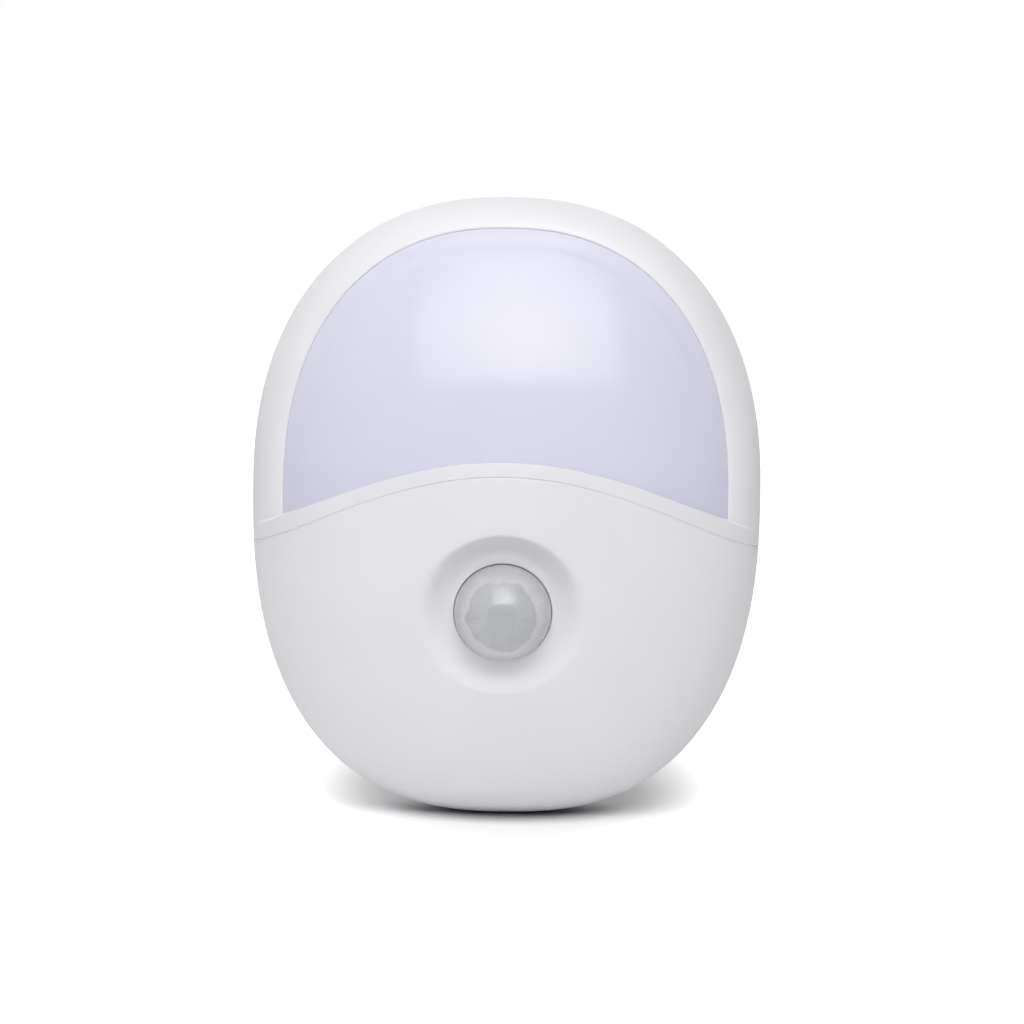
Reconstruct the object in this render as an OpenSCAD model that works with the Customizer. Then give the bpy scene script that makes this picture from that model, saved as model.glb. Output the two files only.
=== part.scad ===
// Plug-in night light with a motion sensor.  A domed oval body plugs straight into a
// wall socket.  An opal window fills its upper half, an arched band crosses the middle,
// and a faceted sensor lens looks out of a round dish below.
// X is the width and Z is up.  +Y points into the wall.  The origin lies midway between
// the two contact pins, on the plug's engagement face.  Millimetres.

/* [Body] */
// Overall width of the body
body_w = 80; // [78:1:86]
// Height of the body above the plug's centre line
upper_h = 46.1; // [45:0.1:52]
// Height of the body below the plug's centre line
lower_h = 51; // [49:0.1:56]
// Depth of the domed front, from the parting plane to the crown
dome_depth = 24; // [23:0.5:27]
// Depth of the rear shell, from the parting plane to the flat back
rear_depth = 11; // [10.5:0.5:13]
// Thickness of the moulded walls
wall = 2; // [1.8:0.1:2.2]
// Squareness of the upper half of the outline (2 is an ellipse)
upper_square = 2.29; // [2.2:0.01:2.5]
// Squareness of the lower half of the outline (2 is an ellipse)
lower_square = 2.48; // [2.3:0.01:2.6]
// How far the flat back is drawn in from the outline
back_inset = 6.8; // [6:0.1:8]

/* [Rim and window] */
// Width of the rim at its sides
rim_side = 5.45; // [5:0.05:6]
// Width of the rim at its top
rim_top = 4.7; // [4.4:0.05:5.4]
// Height of the rim's inner edge above the parting plane
rim_rise = 9.7; // [9:0.1:10.5]
// Fullness of the rim's rounding
rim_round = 1.59; // [1.4:0.01:2]
// Thickness of the opal diffuser
diffuser_t = 1.8; // [1.4:0.1:2.2]
// Distance from the dome down to the diffuser's face
diffuser_drop = 1; // [0.6:0.1:1.4]
// Width of the diffuser's rolled edge along the rim
roll_w = 2; // [1.5:0.1:2.6]
// Depth and width of the diffuser's rolled edge along the band
band_roll = 0.8; // [0.4:0.1:1]
// Gap between the diffuser and the frame round it
fit_gap = 0.15; // [0.1:0.01:0.2]
// Width of the ledge that carries the diffuser
ledge_w = 1.6; // [1.4:0.1:1.8]
// Thickness of the ledge that carries the diffuser
ledge_t = 1.2; // [1:0.1:1.4]

/* [Band] */
// Height of the groove under the band, at the middle
groove_mid_z = 3.9; // [3:0.1:5]
// Height of the groove at the two sides
groove_end_z = -7.45; // [-9:0.05:-6]
// Fullness of the arch
arch_power = 1.38; // [1.2:0.01:1.6]
// Width of the groove between the band and the lower cover
groove_w = 0.35; // [0.2:0.05:0.5]
// Width of the band at the middle
band_w = 2.2; // [2:0.1:2.8]
// Extra width of the band at the sides
band_flare = 0.75; // [0.4:0.05:1]
// Depth of the groove, down to the tongue that closes it from behind
groove_depth = 0.8; // [0.6:0.05:1]
// Width of the tongue that the frame reaches under the lower cover
tongue_w = 1.2; // [0.8:0.1:1.5]

/* [Sensor] */
// Diameter of the sensor lens
lens_d = 15.2; // [14:0.1:16]
// Height of the lens's axis
lens_z = -17.2; // [-19:0.1:-16]
// Thickness of the lens
lens_t = 0.7; // [0.6:0.1:1]
// Outer diameter of the dish round the lens
dish_d = 24.4; // [23.6:0.1:25.6]
// Distance of the dish's middle below the lens's axis
dish_drop = 0.4; // [0:0.1:0.6]
// Diameter of the dish's flat floor
floor_d = 18.4; // [18:0.1:19]
// Height of the dish's floor above the parting plane, on the lens's axis
floor_h = 19.2; // [19:0.1:20]
// Slope of the dish's floor, in rise per unit height
floor_tilt = 0.09; // [0:0.01:0.12]
// Diameter of the motion sensor's metal can
can_d = 9.2; // [8:0.1:9.4]

/* [Plug] */
// Diameter of the plug boss
boss_d = 36.4; // [35:0.1:37]
// Length of the plug boss
boss_len = 18; // [17:0.1:19]
// Diameter of the contact pins
pin_d = 4.8; // [4:0.1:4.8]
// Length of the contact pins
pin_len = 19; // [18:0.1:19.5]
// Distance between the contact pins
pin_pitch = 19; // [18.6:0.1:19.4]
// Diameter of the hole for a socket's earth pin
earth_d = 6; // [5.4:0.1:6.2]
// Height of the earth pin's hole above the contact pins
earth_z = 10; // [9.8:0.1:10.4]

/* [Switch] */
// Height of the slide switch's middle position
switch_z = -8; // [-10:0.5:-7]
// Travel of the switch each way from its middle position
switch_travel = 2; // [1.5:0.1:2]
// Distance of the switch's lever behind the parting plane
switch_drop = 4.6; // [4.4:0.1:4.8]

/* [Boards] */
// Thickness of the main board
board_t = 1.6; // [1.2:0.1:1.6]
// Thickness of the LED board
led_board_t = 1; // [0.8:0.1:1.6]
// Height of the light tray's underside above the parting plane
tray_h = 1; // [0.6:0.1:1.4]
// Height of the light tray's walls above its underside
tray_depth = 8; // [6:0.5:8.5]
// Length of the standoffs under the sensor board
standoff_len = 10.4; // [10:0.1:10.8]

/* [Hidden] */
$fn = 48;

half_w = body_w / 2;
split = boss_len + rear_depth;        // distance of the parting plane from the origin
back_h = -rear_depth;                 // flat back, seen from the parting plane
floor_in = -(rear_depth - wall);      // inside of the back wall
embed = 0.5;                          // how far a post's root sinks into its wall
over = 1;                             // by which a cut starts outside what it cuts

// ---- placing: a point p = [x, z] of the face and a height h above the parting plane ----

function at(p, h) = [p.x, -(split + h), p.y];

module peg(p, h0, h1, d) {
    translate(at(p, h0)) rotate([90, 0, 0]) cylinder(h = h1 - h0, d = d);
}

module cone(p, h0, h1, d0, d1) {
    translate(at(p, h0)) rotate([90, 0, 0]) cylinder(h = h1 - h0, d1 = d0, d2 = d1);
}

module plate(h0, h1) {
    translate(at([0, 0], h0)) rotate([90, 0, 0]) linear_extrude(h1 - h0) children();
}

module block(p, size, h0, h1) {
    translate(at([p.x - size.x / 2, p.y - size.y / 2], h1)) cube([size.x, h1 - h0, size.y]);
}

// ---- outline: two half superellipses of one width ----

function signed_pow(v, e) = sign(v) * pow(abs(v), e);
function mix(a, b, f) = a + (b - a) * f;

// Point of an oval at angle t, with half width w, upper height u and lower height l
function oval(t, w, u, l) =
    let (up = sin(t) >= 0)
    let (e = 2 / (up ? upper_square : lower_square))
    [w * signed_pow(cos(t), e), (up ? u : l) * signed_pow(sin(t), e)];

function outline(t, inset = 0) = oval(t, half_w - inset, upper_h - inset, lower_h - inset);

// Angle at which an oval of those heights passes the height z
function oval_angle(z, u, l) = z >= 0
    ? asin(pow(z / u, upper_square / 2))
    : -asin(pow(-z / l, lower_square / 2));

function share(x, z, n) = pow(pow(x, n) + pow(z, n), 1 / n);

// Share of the way from the centre to the oval at a point p: 1 on the oval itself.  The
// contours pass from the oval's squareness at the edge to a plain ellipse at the centre.
function level(p, w, u, l) =
    let (x = abs(p.x) / w, z = abs(p.y) / (p.y >= 0 ? u : l))
    let (r = min(1, norm([x, z])))
    share(x, z, mix(2, p.y >= 0 ? upper_square : lower_square, r * r * (3 - 2 * r)));

function cap(v) = sqrt(max(0, 1 - v * v));
function dome_h(p) = dome_depth * cap(level(p, half_w, upper_h, lower_h));
function inner_h(p) =
    (dome_depth - wall) * cap(level(p, half_w - wall, upper_h - wall, lower_h - wall));
oval_n = 96;
module oval_shape(inset) polygon([for (i = [0:oval_n - 1]) outline(360 * i / oval_n, inset)]);

function outline_x(z) = half_w * pow(1 - pow(abs(z) / (z >= 0 ? upper_h : lower_h),
    z >= 0 ? upper_square : lower_square), 1 / (z >= 0 ? upper_square : lower_square));

// ---- arch: the groove under the band and the band's upper edge ----

groove_x = outline_x(groove_end_z);
function groove_z(x) = groove_end_z
    + (groove_mid_z - groove_end_z) * pow(max(0, 1 - pow(x / groove_x, 2)), arch_power);
function band_z(x) = groove_z(x) + band_w + band_flare * pow(x / half_w, 2);

// Reach of the tongue under the lower cover: full at the middle, almost none at the sides
tongue_fade = 3;
function tongue_at(x) = max(fit_gap, tongue_w * min(1, tongue_fade * (1 - abs(x) / groove_x)));

// ---- window: its corners lie where the rim's inner oval meets the band ----

win_w = half_w - rim_side;
win_u = upper_h - rim_top;
win_l = lower_h - rim_side;

// Loop of [x, z, kind] round the window drawn in by inset and raised by rise above the
// band; kind is 0 along the rim and 1 along the band
function window_loop(inset, rise, arc_n, band_n) =
    let (w = win_w - inset)
    let (t0 = oval_angle(band_z(w) + rise, win_u - inset, win_l - inset))
    let (corner = oval(t0, w, win_u - inset, win_l - inset).x)
    concat(
        [for (i = [0:arc_n]) let (p = oval(mix(t0, 180 - t0, i / arc_n), w, win_u - inset,
            win_l - inset)) [p.x, p.y, 0]],
        [for (i = [1:band_n - 1]) let (x = -corner * cos(180 * i / band_n))
            [x, band_z(x) + rise, 1]]);

// ---- lofts: rows of points joined into closed skins ----

// Two triangles for each cell between rows of n points; wrap joins the last row to the first
function skin_faces(rows, n, wrap) = [
    for (r = [0:rows - (wrap ? 1 : 2)]) for (c = [0:n - 1])
        let (a = r * n + c, b = r * n + (c + 1) % n)
        let (d = ((r + 1) % rows) * n + c, e = ((r + 1) % rows) * n + (c + 1) % n)
        each [[a, b, e], [a, e, d]]];

// Ring-shaped solid: closed sections in a closed round
module ring_solid(sections) {
    polyhedron([for (s = sections) each s],
        skin_faces(len(sections), len(sections[0]), true), convexity = 10);
}

// Cushion-shaped solid: rings between a first and a last pole
module pole_solid(first, rings, last) {
    n = len(rings[0]);
    count = len(rings) * n;
    polyhedron(concat([for (s = rings) each s], [first, last]),
        concat(skin_faces(len(rings), n, false),
            [for (c = [0:n - 1]) [count, (c + 1) % n, c]],
            [for (c = [0:n - 1]) [count + 1, count - n + c, count - n + (c + 1) % n]]),
        convexity = 10);
}

// ---- shared places ----

screw_inset = 8.2;
screw_angle = 60;
screw_spots = [for (t = [screw_angle, 180 - screw_angle, 180 + screw_angle, -screw_angle])
    outline(t, screw_inset)];
upper_spots = [screw_spots[0], screw_spots[1]];
lower_spots = [screw_spots[2], screw_spots[3]];
screw_d = 3;
head_d = 5.6;
head_t = 2.2;
head_seat = -6;          // where the housing screws' heads bear
tube_d = 8;
lug_d = 6.5;
screw_fit = 0.1;         // gap round a screw in its hole, on the diameter
screw_clear = 0.4;       // the same where the housing screws pass the rear shell
blind_up = 1;            // from the back wall up to the floor of a post's screw hole
tip_up = 2;              // from the back wall up to a screw's tip

post_in = 15.5;          // from the sides to the outer board posts
post_z = -13;
foot_x = 9;              // the two posts near the bottom
foot_up = 9.5;
tray_post_down = 11;     // from the top to the tray's upper post
tray_post_z = 12;
post_x = half_w - post_in;
board_posts = concat([for (s = [1, -1]) [s * post_x, post_z]],
    [for (s = [1, -1]) [s * foot_x, foot_up - lower_h]]);
tray_posts = concat([[0, upper_h - tray_post_down]],
    [for (s = [1, -1]) [s * (post_x + 0.5), tray_post_z]]);
post_d = 5;
small_screw_d = 2;
small_head_d = 4.2;
small_head_t = 1.3;
tray_floor = 1.4;
tray_top = tray_h + tray_floor;
led_top = tray_top + led_board_t;
lens_p = [0, lens_z];
dish_p = [0, lens_z - dish_drop];

// ---- rear shell ----

rear_n = 72;
rear_steps = 6;

module rear_skin() {
    hole_r = boss_d / 2 + fit_gap;
    depth_in = rear_depth - wall;
    ring_solid([for (i = [0:rear_n - 1])
        let (t = -360 * i / rear_n)
        let (a = atan2(outline(t, back_inset).y, outline(t, back_inset).x))
        let (hole = hole_r * [cos(a), sin(a)])
        concat(
            [for (j = [0:rear_steps]) let (f = 90 * j / rear_steps)
                at(outline(t, back_inset * (1 - cos(f))), -rear_depth * sin(f))],
            [at(hole, back_h), at(hole, floor_in)],
            [for (j = [rear_steps:-1:0]) let (f = 90 * j / rear_steps)
                at(outline(t, wall + back_inset * (1 - cos(f))), -depth_in * sin(f))])]);
}

knob_len = 4.2;          // the knob's grip along its travel
knob_w = 2.8;
lever_len = 3;
lever_w = 2.2;
slot_gap = 0.3;
slot_len = lever_len + 2 * (switch_travel + slot_gap);
slot_w = lever_w + 2 * slot_gap;
slide_lap = 0.2;         // by which the knob's plate still covers the slot at each end
slide_len = slot_len + 2 * (switch_travel + slide_lap);
side_lap = 0.5;          // of the plate past the slot and of the recess past the plate
slide_w = slot_w + 2 * side_lap;
slide_t = 0.6;
slide_lift = 0.15;       // between the plate and the recess's floor
end_gap = 0.4;           // left at the end of the plate's travel
recess_len = slide_len + 2 * (switch_travel + end_gap);
recess_w = slide_w + 2 * side_lap;
recess_depth = 1.6;
pad_t = 1.7;             // wall behind the recess
pad_edge = 0.4;
knob_out = 0.12;         // by which the grip stands out of the shell
shell_x = outline_x(switch_z) - back_inset * (1 - cos(asin(switch_drop / rear_depth)));
recess_x = shell_x - recess_depth;
knob_x = shell_x + knob_out;

// Block between two distances from the middle, centred on the slide switch
module switch_block(x0, x1, long, wide) {
    block([(x0 + x1) / 2, switch_z], [x1 - x0, long],
        -switch_drop - wide / 2, -switch_drop + wide / 2);
}

// Thicker stretch of the right-hand wall that the switch's recess is sunk into
module switch_pad() intersection() {
    switch_block(recess_x - pad_t, half_w, recess_len + 2 * pad_edge, recess_w + 2 * pad_edge);
    plate(-rear_depth, 0) oval_shape(wall);
}

module rear_shell() color("white") difference() {
    union() {
        rear_skin();
        for (p = screw_spots) peg(p, floor_in - embed, 0, tube_d);
        for (p = board_posts) peg(p, floor_in - embed, -board_t, post_d);
        for (p = tray_posts) peg(p, floor_in - embed, tray_h, post_d);
        switch_pad();
    }
    for (p = screw_spots) {
        peg(p, back_h - over, over, screw_d + screw_clear);
        peg(p, back_h - over, head_seat, head_d + screw_clear);
    }
    for (p = board_posts) peg(p, floor_in + blind_up, over, small_screw_d + screw_fit);
    for (p = tray_posts) peg(p, floor_in + blind_up, tray_h + over, small_screw_d + screw_fit);
    switch_block(recess_x, half_w + over, recess_len, recess_w);
    switch_block(recess_x - pad_t - over, half_w, slot_len, slot_w);
}

// ---- front frame: rim round the window and arched band under it, one moulding ----

rim_n = 60;
fan_n = 2;
arch_n = 40;
step_w = 0.3;            // width of the step between rim and band at the silhouette
edge_break = 0.3;        // broken edge round the window
edge_drop = 0.24;
band_tip_w = 2.75;       // width of the band at the silhouette
seat_gap = 0.1;          // between the diffuser and its ledge
band_seat = diffuser_drop + band_roll + diffuser_t + seat_gap;
rim_seat = diffuser_t + 2 * seat_gap;
fan_step = 0.3;
top_n = 6;               // steps across the top of a section
edge_n = 4;              // steps along its flat edge on the parting plane
tongue_min = 0.1;        // least thickness of the tongue
// Places of a section's inner side, from its outer edge: in spans at the groove, in walls
// elsewhere
groove_side = [0.65, 0.35, 0];
wall_side = [1.7, 1.12, 1];

function rim_h(f) = rim_rise * sqrt(max(0, 1 - pow(1 - f, rim_round)));

// Closed section from q on the outer edge to p on the window's edge.  band tells the
// band from the rim, and cut tells the groove's edge from the silhouette.
function frame_section(q, p, band, cut) =
    let (span = norm(p - q), dir = (p - q) / span)
    let (top = function (f) band ? dome_h(q + dir * span * f) : rim_h(f))
    let (seat = (band ? dome_h(p) - band_seat : rim_rise - rim_seat))
    let (under = seat - ledge_t)
    let (inside = cut ? groove_side * span : wall_side * wall)
    let (lip = p + dir * ledge_w)
    let (root = inner_h(q), deck = max(root + tongue_min, dome_h(q) - groove_depth))
    let (tongue = q - [0, tongue_at(q.x)], fall = dome_h(q) - dome_h(tongue))
    concat(
        [for (j = [0:top_n]) let (f = pow(j / top_n, 2) * (1 - edge_break / span))
            at(q + dir * span * f, top(f))],
        [at(p, top(1) - edge_drop), at(p, seat), at(lip, seat), at(lip, under)],
        [for (j = [0:2]) let (s = q + dir * inside[j])
            at(s, !cut && j == 2 ? 0 : min(under, inner_h(s)))],
        cut ? [at(tongue, max(0, root - fall)), at(tongue, deck - fall), at(q, deck)]
            : [for (j = [edge_n - 1:-1:1]) at(q + dir * wall * j / edge_n, 0)]);

function mirrored(list) = [for (i = [len(list) - 1:-1:0]) [-list[i].x, list[i].y]];

module frame_skin() {
    step_z = groove_end_z + band_tip_w;
    tq = oval_angle(step_z, upper_h, lower_h);
    corner_t = oval_angle(band_z(win_w), win_u, win_l);
    corner_x = oval(corner_t, win_w, win_u, win_l).x;
    band_x = corner_x - fan_step * (fan_n + 1);
    rim = [for (i = [0:rim_n]) let (f = i / rim_n)
        frame_section(outline(mix(tq, 180 - tq, f)),
            oval(mix(corner_t, 180 - corner_t, f), win_w, win_u, win_l), false, false)];
    fan_q = [for (j = [0:fan_n])
        let (z = mix(step_z - step_w, groove_end_z + groove_w / 2, j / fan_n))
        [-outline_x(z), z]];
    fan_p = [for (j = [0:fan_n]) let (x = -corner_x + fan_step * (j + 1)) [x, band_z(x)]];
    fan = [for (j = [0:fan_n]) frame_section(fan_q[j], fan_p[j], true, false)];
    right_q = mirrored(fan_q);
    right_p = mirrored(fan_p);
    fan_right = [for (j = [0:fan_n]) frame_section(right_q[j], right_p[j], true, false)];
    arch = [for (i = [1:arch_n - 1]) let (c = -cos(180 * i / arch_n))
        frame_section([c * groove_x, groove_z(c * groove_x) + groove_w / 2],
            [c * band_x, band_z(c * band_x)], true, true)];
    ring_solid(concat(rim, fan, arch, fan_right));
}

lug_top = rim_rise - rim_seat - ledge_t / 2;
front_reach = 6.4;       // how far the housing screws reach into the front's posts

module front_frame() color("white") difference() {
    union() {
        frame_skin();
        for (p = upper_spots) peg(p, 0, lug_top, lug_d);
    }
    for (p = upper_spots) peg(p, -over, front_reach, screw_d + screw_fit);
}

// ---- lower cover: dome below the groove, with the dish and the lens's hole ----

cover_arch_n = 40;
cover_low_n = 48;
hole_gap = 0.25;
seat_ring_d = 19.2;
lens_drop = 3.2;                      // from the dish's floor down to the lens's flange
lens_seat = floor_h - lens_drop;
dish_power = 2.2;                     // fullness of the dish's fall
dish_shares = [0, 0.35, 0.62, 0.85, 1];
edge_shares = [0.3, 0.65, 1];
hole_start = 0.8;                     // by which the skin begins inside the lens's hole
cover_out_n = 8;
cover_in_n = 5;
ear_hole = 1.6;                       // roof of an ear's screw hole, below the dish's floor
ear_tip = 2;
ear_x = 13.2;
ear_d = 4.4;
ear_up = 0.2;

function floor_at(p) = floor_h + floor_tilt * (p.y - lens_z);
function dish_cut(p) =
    let (f = (norm(p - dish_p) - floor_d / 2) / (dish_d / 2 - floor_d / 2))
    (dome_h(p) - floor_at(p)) * (f >= 1 ? 0 : f <= 0 ? 1 : 1 - pow(f, dish_power));

// Loop round the cover's edge: on the outline, then along the groove.  Drawn in by inset
// it is the inside of the wall, which clears the frame's tongue.
function cover_edge(inset) =
    let (t0 = oval_angle(groove_end_z - groove_w / 2, upper_h, lower_h))
    let (clear = function (x) inset > 0 ? max(0, tongue_at(x) + fit_gap - groove_w) : 0)
    concat(
        [for (i = [0:cover_low_n]) outline(mix(180 - t0, 360 + t0, i / cover_low_n), inset)],
        [for (i = [1:cover_arch_n - 1]) let (x = groove_x * cos(180 * i / cover_arch_n))
            [x * (half_w - inset) / half_w, groove_z(x) - groove_w / 2 - clear(x)]]);

// Shares of the way from the dish's rim to the cover's edge, close together at the edge
function ease(n) = [for (j = [1:n]) 1 - pow(1 - j / n, 2)];

// Three points down the cover's edge, from e on the outside to e_in on the inside: a rebate
// over the frame's tongue along the groove, and a plain flat edge on the parting plane
function cover_rebate(e, e_in, along_groove) = along_groove
    ? [at(e, dome_h(e) - groove_depth + fit_gap),
        at(e_in, dome_h(e_in) - groove_depth + fit_gap), at(e_in, inner_h(e_in))]
    : [for (f = edge_shares) at(mix(e, e_in, f), 0)];

module cover_skin() {
    edge = cover_edge(0);
    edge_in = cover_edge(wall);
    n = len(edge);
    start_r = lens_d / 2 - hole_start;
    dish_r = [for (f = dish_shares) mix(floor_d, dish_d, f) / 2];
    ring_solid([for (i = [n - 1:-1:0])
        let (far = edge[i] - dish_p, dir = far / norm(far))
        let (far_in = edge_in[i] - dish_p, dir_in = far_in / norm(far_in))
        concat(
            [for (r = concat(start_r, dish_r)) let (p = dish_p + r * dir) at(p, dome_h(p) - dish_cut(p))],
            [for (f = ease(cover_out_n)) let (p = dish_p + mix(dish_d / 2, norm(far), f) * dir)
                at(p, dome_h(p))],
            cover_rebate(edge[i], edge_in[i], i > cover_low_n),
            [for (f = concat([for (j = [cover_in_n - 2:-1:0]) ease(cover_in_n)[j]], [0]))
                let (p = dish_p + mix(dish_d / 2, norm(far_in), f) * dir_in)
                at(p, inner_h(p))],
            [for (r = [dish_r[3], dish_r[1], start_r]) let (p = dish_p + r * dir_in)
                at(p, inner_h(p) - dish_cut(p))])]);
}

module lower_cover() color("white") difference() {
    union() {
        cover_skin();
        for (p = lower_spots) peg(p, 0, rim_rise, lug_d);
        peg(lens_p, lens_seat, floor_h - wall / 2, seat_ring_d);
        for (s = [-1, 1])
            peg(lens_p + [s * ear_x, 0], lens_seat - flange_t, floor_h + ear_up, ear_d);
    }
    peg(lens_p, 0, dome_depth + over, lens_d + 2 * hole_gap);
    for (p = lower_spots) peg(p, -over, front_reach, screw_d + screw_fit);
    for (s = [-1, 1])
        peg(lens_p + [s * ear_x, 0], 0, floor_h - ear_hole, small_screw_d + screw_fit);
}

// ---- diffuser: opal cap with a rolled edge, seated on the frame's ledge ----

diffuser_centre = [0, 17];
diffuser_arc_n = 56;
diffuser_band_n = 32;
edge_sink = 0.1;         // of the diffuser's edge below the rim's
// Rings across the diffuser: shares of its rolled edge, then of the way on to its centre
roll_shares = [0, 0.06, 0.18, 0.38, 0.65, 1];
face_shares = [0.16, 0.34, 0.55, 0.78];
back_shares = [0.34, 0.7];

function quarter(f) = f >= 1 ? 0 : 1 - sqrt(1 - pow(1 - f, 2));

// Height of the diffuser's face at a share d mm or f of the way in from the edge point e
function diffuser_h(p, e, d) =
    let (base = function (s) dome_h(s) - diffuser_drop)
    let (rim = e[2] == 0, foot = [e.x, e.y])
    let (low = rim ? rim_rise - edge_sink : base(foot) - band_roll)
    base(p) - (base(foot) - low) * quarter(d / (rim ? roll_w : band_roll));

module diffuser() color("lavender", 0.85) {
    edge = window_loop(fit_gap, fit_gap, diffuser_arc_n, diffuser_band_n);
    ring = function (d, f, drop) [for (e = edge)
        let (foot = [e.x, e.y], way = diffuser_centre - foot)
        let (in = d + f * (norm(way) - d))
        let (p = foot + way / norm(way) * in)
        at(p, diffuser_h(p, e, in) - drop)];
    crown = dome_h(diffuser_centre) - diffuser_drop;
    pole_solid(at(diffuser_centre, crown),
        concat(
            [for (j = [len(face_shares) - 1:-1:0]) ring(roll_w, face_shares[j], 0)],
            [for (j = [len(roll_shares) - 1:-1:0]) ring(roll_w * roll_shares[j], 0, 0)],
            [for (j = [0:2:len(roll_shares) - 1]) ring(roll_w * roll_shares[j], 0, diffuser_t)],
            [for (f = back_shares) ring(roll_w, f, diffuser_t)]),
        at(diffuser_centre, crown - diffuser_t));
}

// ---- sensor lens: hemisphere with a flange, three zones of flat lenslets inside ----

flange_d = 18.2;
flange_t = 1;
base_drop = 0.2;
lens_base = floor_h - base_drop;      // plane of the hemisphere's centre
zone_sides = [12, 8, 6];
zone_tilt = [0, 33, 60, 78];
zone_lap = 0.01;

module pir_lens() color("gainsboro", 0.8) difference() {
    union() {
        translate(at(lens_p, lens_base)) rotate([90, 0, 0]) difference() {
            sphere(d = lens_d);
            translate([0, 0, -lens_d]) cube(2 * lens_d, center = true);
        }
        peg(lens_p, lens_seat - flange_t, lens_base + zone_lap, lens_d);
        peg(lens_p, lens_seat - flange_t, lens_seat, flange_d);
    }
    peg(lens_p, lens_seat - flange_t - over, lens_base, lens_d - 2 * lens_t);
    translate(at(lens_p, lens_base)) rotate([90, 0, 0])
        for (i = [0:len(zone_sides) - 1]) let (r = lens_d / 2 - lens_t)
            translate([0, 0, r * sin(zone_tilt[i]) - zone_lap])
                cylinder(h = r * (sin(zone_tilt[i + 1]) - sin(zone_tilt[i])) + zone_lap,
                    r1 = r * cos(zone_tilt[i]), r2 = r * cos(zone_tilt[i + 1]),
                    $fn = zone_sides[i]);
}

retainer_t = 1.4;
retainer_lip = 0.3;      // by which the ring reaches in under the lens's wall

module lens_retainer() color("white") difference() {
    h1 = lens_seat - flange_t;
    union() {
        peg(lens_p, h1 - retainer_t, h1, seat_ring_d);
        block(lens_p, [2 * ear_x, ear_d], h1 - retainer_t, h1);
        for (s = [-1, 1]) peg(lens_p + [s * ear_x, 0], h1 - retainer_t, h1, ear_d);
    }
    peg(lens_p, h1 - retainer_t - over, h1 + over, lens_d - 2 * (lens_t + retainer_lip));
    for (s = [-1, 1])
        peg(lens_p + [s * ear_x, 0], h1 - retainer_t - over, h1 + over,
            small_screw_d + screw_fit);
}

// Screw with a domed head: its head bears at h and points away from the tip.  The values
// are shares of the head's height and diameter.
head_side = 0.6;
head_top = 0.7;
cross_len = 0.54;
cross_w = 0.12;

module screw(p, h, tip, d, hd, ht) {
    way = tip > h ? 1 : -1;
    translate(at(p, h)) rotate([way * 90, 0, 0]) difference() {
        union() {
            cylinder(h = abs(tip - h) - d / 2, d = d);
            translate([0, 0, abs(tip - h) - d / 2]) cylinder(h = d / 2, d1 = d, d2 = d / 4);
            translate([0, 0, -ht * head_side]) cylinder(h = ht * head_side, d = hd);
            translate([0, 0, -ht]) cylinder(h = ht * (1 - head_side), d1 = hd * head_top, d2 = hd);
        }
        for (a = [0, 90]) rotate([0, 0, a])
            translate([-hd * cross_len / 2, -hd * cross_w / 2, -ht - over])
                cube([hd * cross_len, hd * cross_w, ht * head_side + over]);
    }
}

module retainer_screws() color("silver")
    for (s = [-1, 1])
        screw(lens_p + [s * ear_x, 0], lens_seat - flange_t - retainer_t, floor_h - ear_tip,
            small_screw_d, small_head_d, small_head_t);

// ---- light tray, LED board and what sits on it ----

tray_inset = 2.4;        // from the window's edge to the tray
tray_rise = 2.2;
tray_wall = 1.4;
board_gap = 0.3;
lug_clear = 0.6;

tray_arc_n = 40;
tray_band_n = 20;

module window_shape(inset, rise)
    polygon([for (e = window_loop(inset, rise, tray_arc_n, tray_band_n)) [e.x, e.y]]);

module light_tray() color("white") {
    outer = tray_inset;
    inner = tray_inset + tray_wall;
    difference() {
        plate(tray_h, tray_h + tray_depth) window_shape(outer, tray_rise);
        plate(tray_top, tray_h + tray_depth + over) window_shape(inner, tray_rise + tray_wall);
        for (p = upper_spots) peg(p, 0, tray_h + tray_depth + over, lug_d + 2 * lug_clear);
        for (p = tray_posts) peg(p, 0, tray_top + over, small_screw_d + screw_fit);
    }
}

module led_board() color("ivory") difference() {
    plate(tray_top, led_top)
        window_shape(tray_inset + tray_wall + board_gap, tray_rise + tray_wall + board_gap);
    for (p = upper_spots) peg(p, tray_top - over, led_top + over, lug_d + 2 * lug_clear);
    for (p = tray_posts) peg(p, tray_top - over, led_top + over, small_screw_d + screw_fit);
}

led_pitch = 0.3 * half_w;
led_low = [-1.5, -0.5, 0.5, 1.5];
led_high = [-1.15, 0, 1.15];
led_low_z = 13;
led_high_z = 26;
led_rows = [[led_low_z, led_low * led_pitch], [led_high_z, led_high * led_pitch]];
led_size = [2.8, 3.5];
led_t = 0.8;
phosphor_d = 2.2;
phosphor_t = 0.32;

module led_chips() color("khaki")
    for (row = led_rows) for (x = row[1]) {
        difference() {
            block([x, row[0]], led_size, led_top, led_top + led_t);
            peg([x, row[0]], led_top + led_t / 2, led_top + led_t + over, phosphor_d);
        }
        peg([x, row[0]], led_top + led_t / 2, led_top + led_t / 2 + phosphor_t, phosphor_d);
    }

module tray_screws() color("silver")
    for (p = tray_posts)
        screw(p, led_top, floor_in + tip_up, small_screw_d, small_head_d, small_head_t);

sensor_spot = [0, (led_low_z + led_high_z) / 2];
sensor_d = 4.3;
sensor_t = 1.6;
face_d = 3.6;            // the sensor's raised face
face_up = 0.4;

module light_sensor() color("orange") {
    peg(sensor_spot, led_top, led_top + sensor_t, sensor_d);
    peg(sensor_spot, led_top + sensor_t, led_top + sensor_t + face_up, face_d);
}

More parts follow.
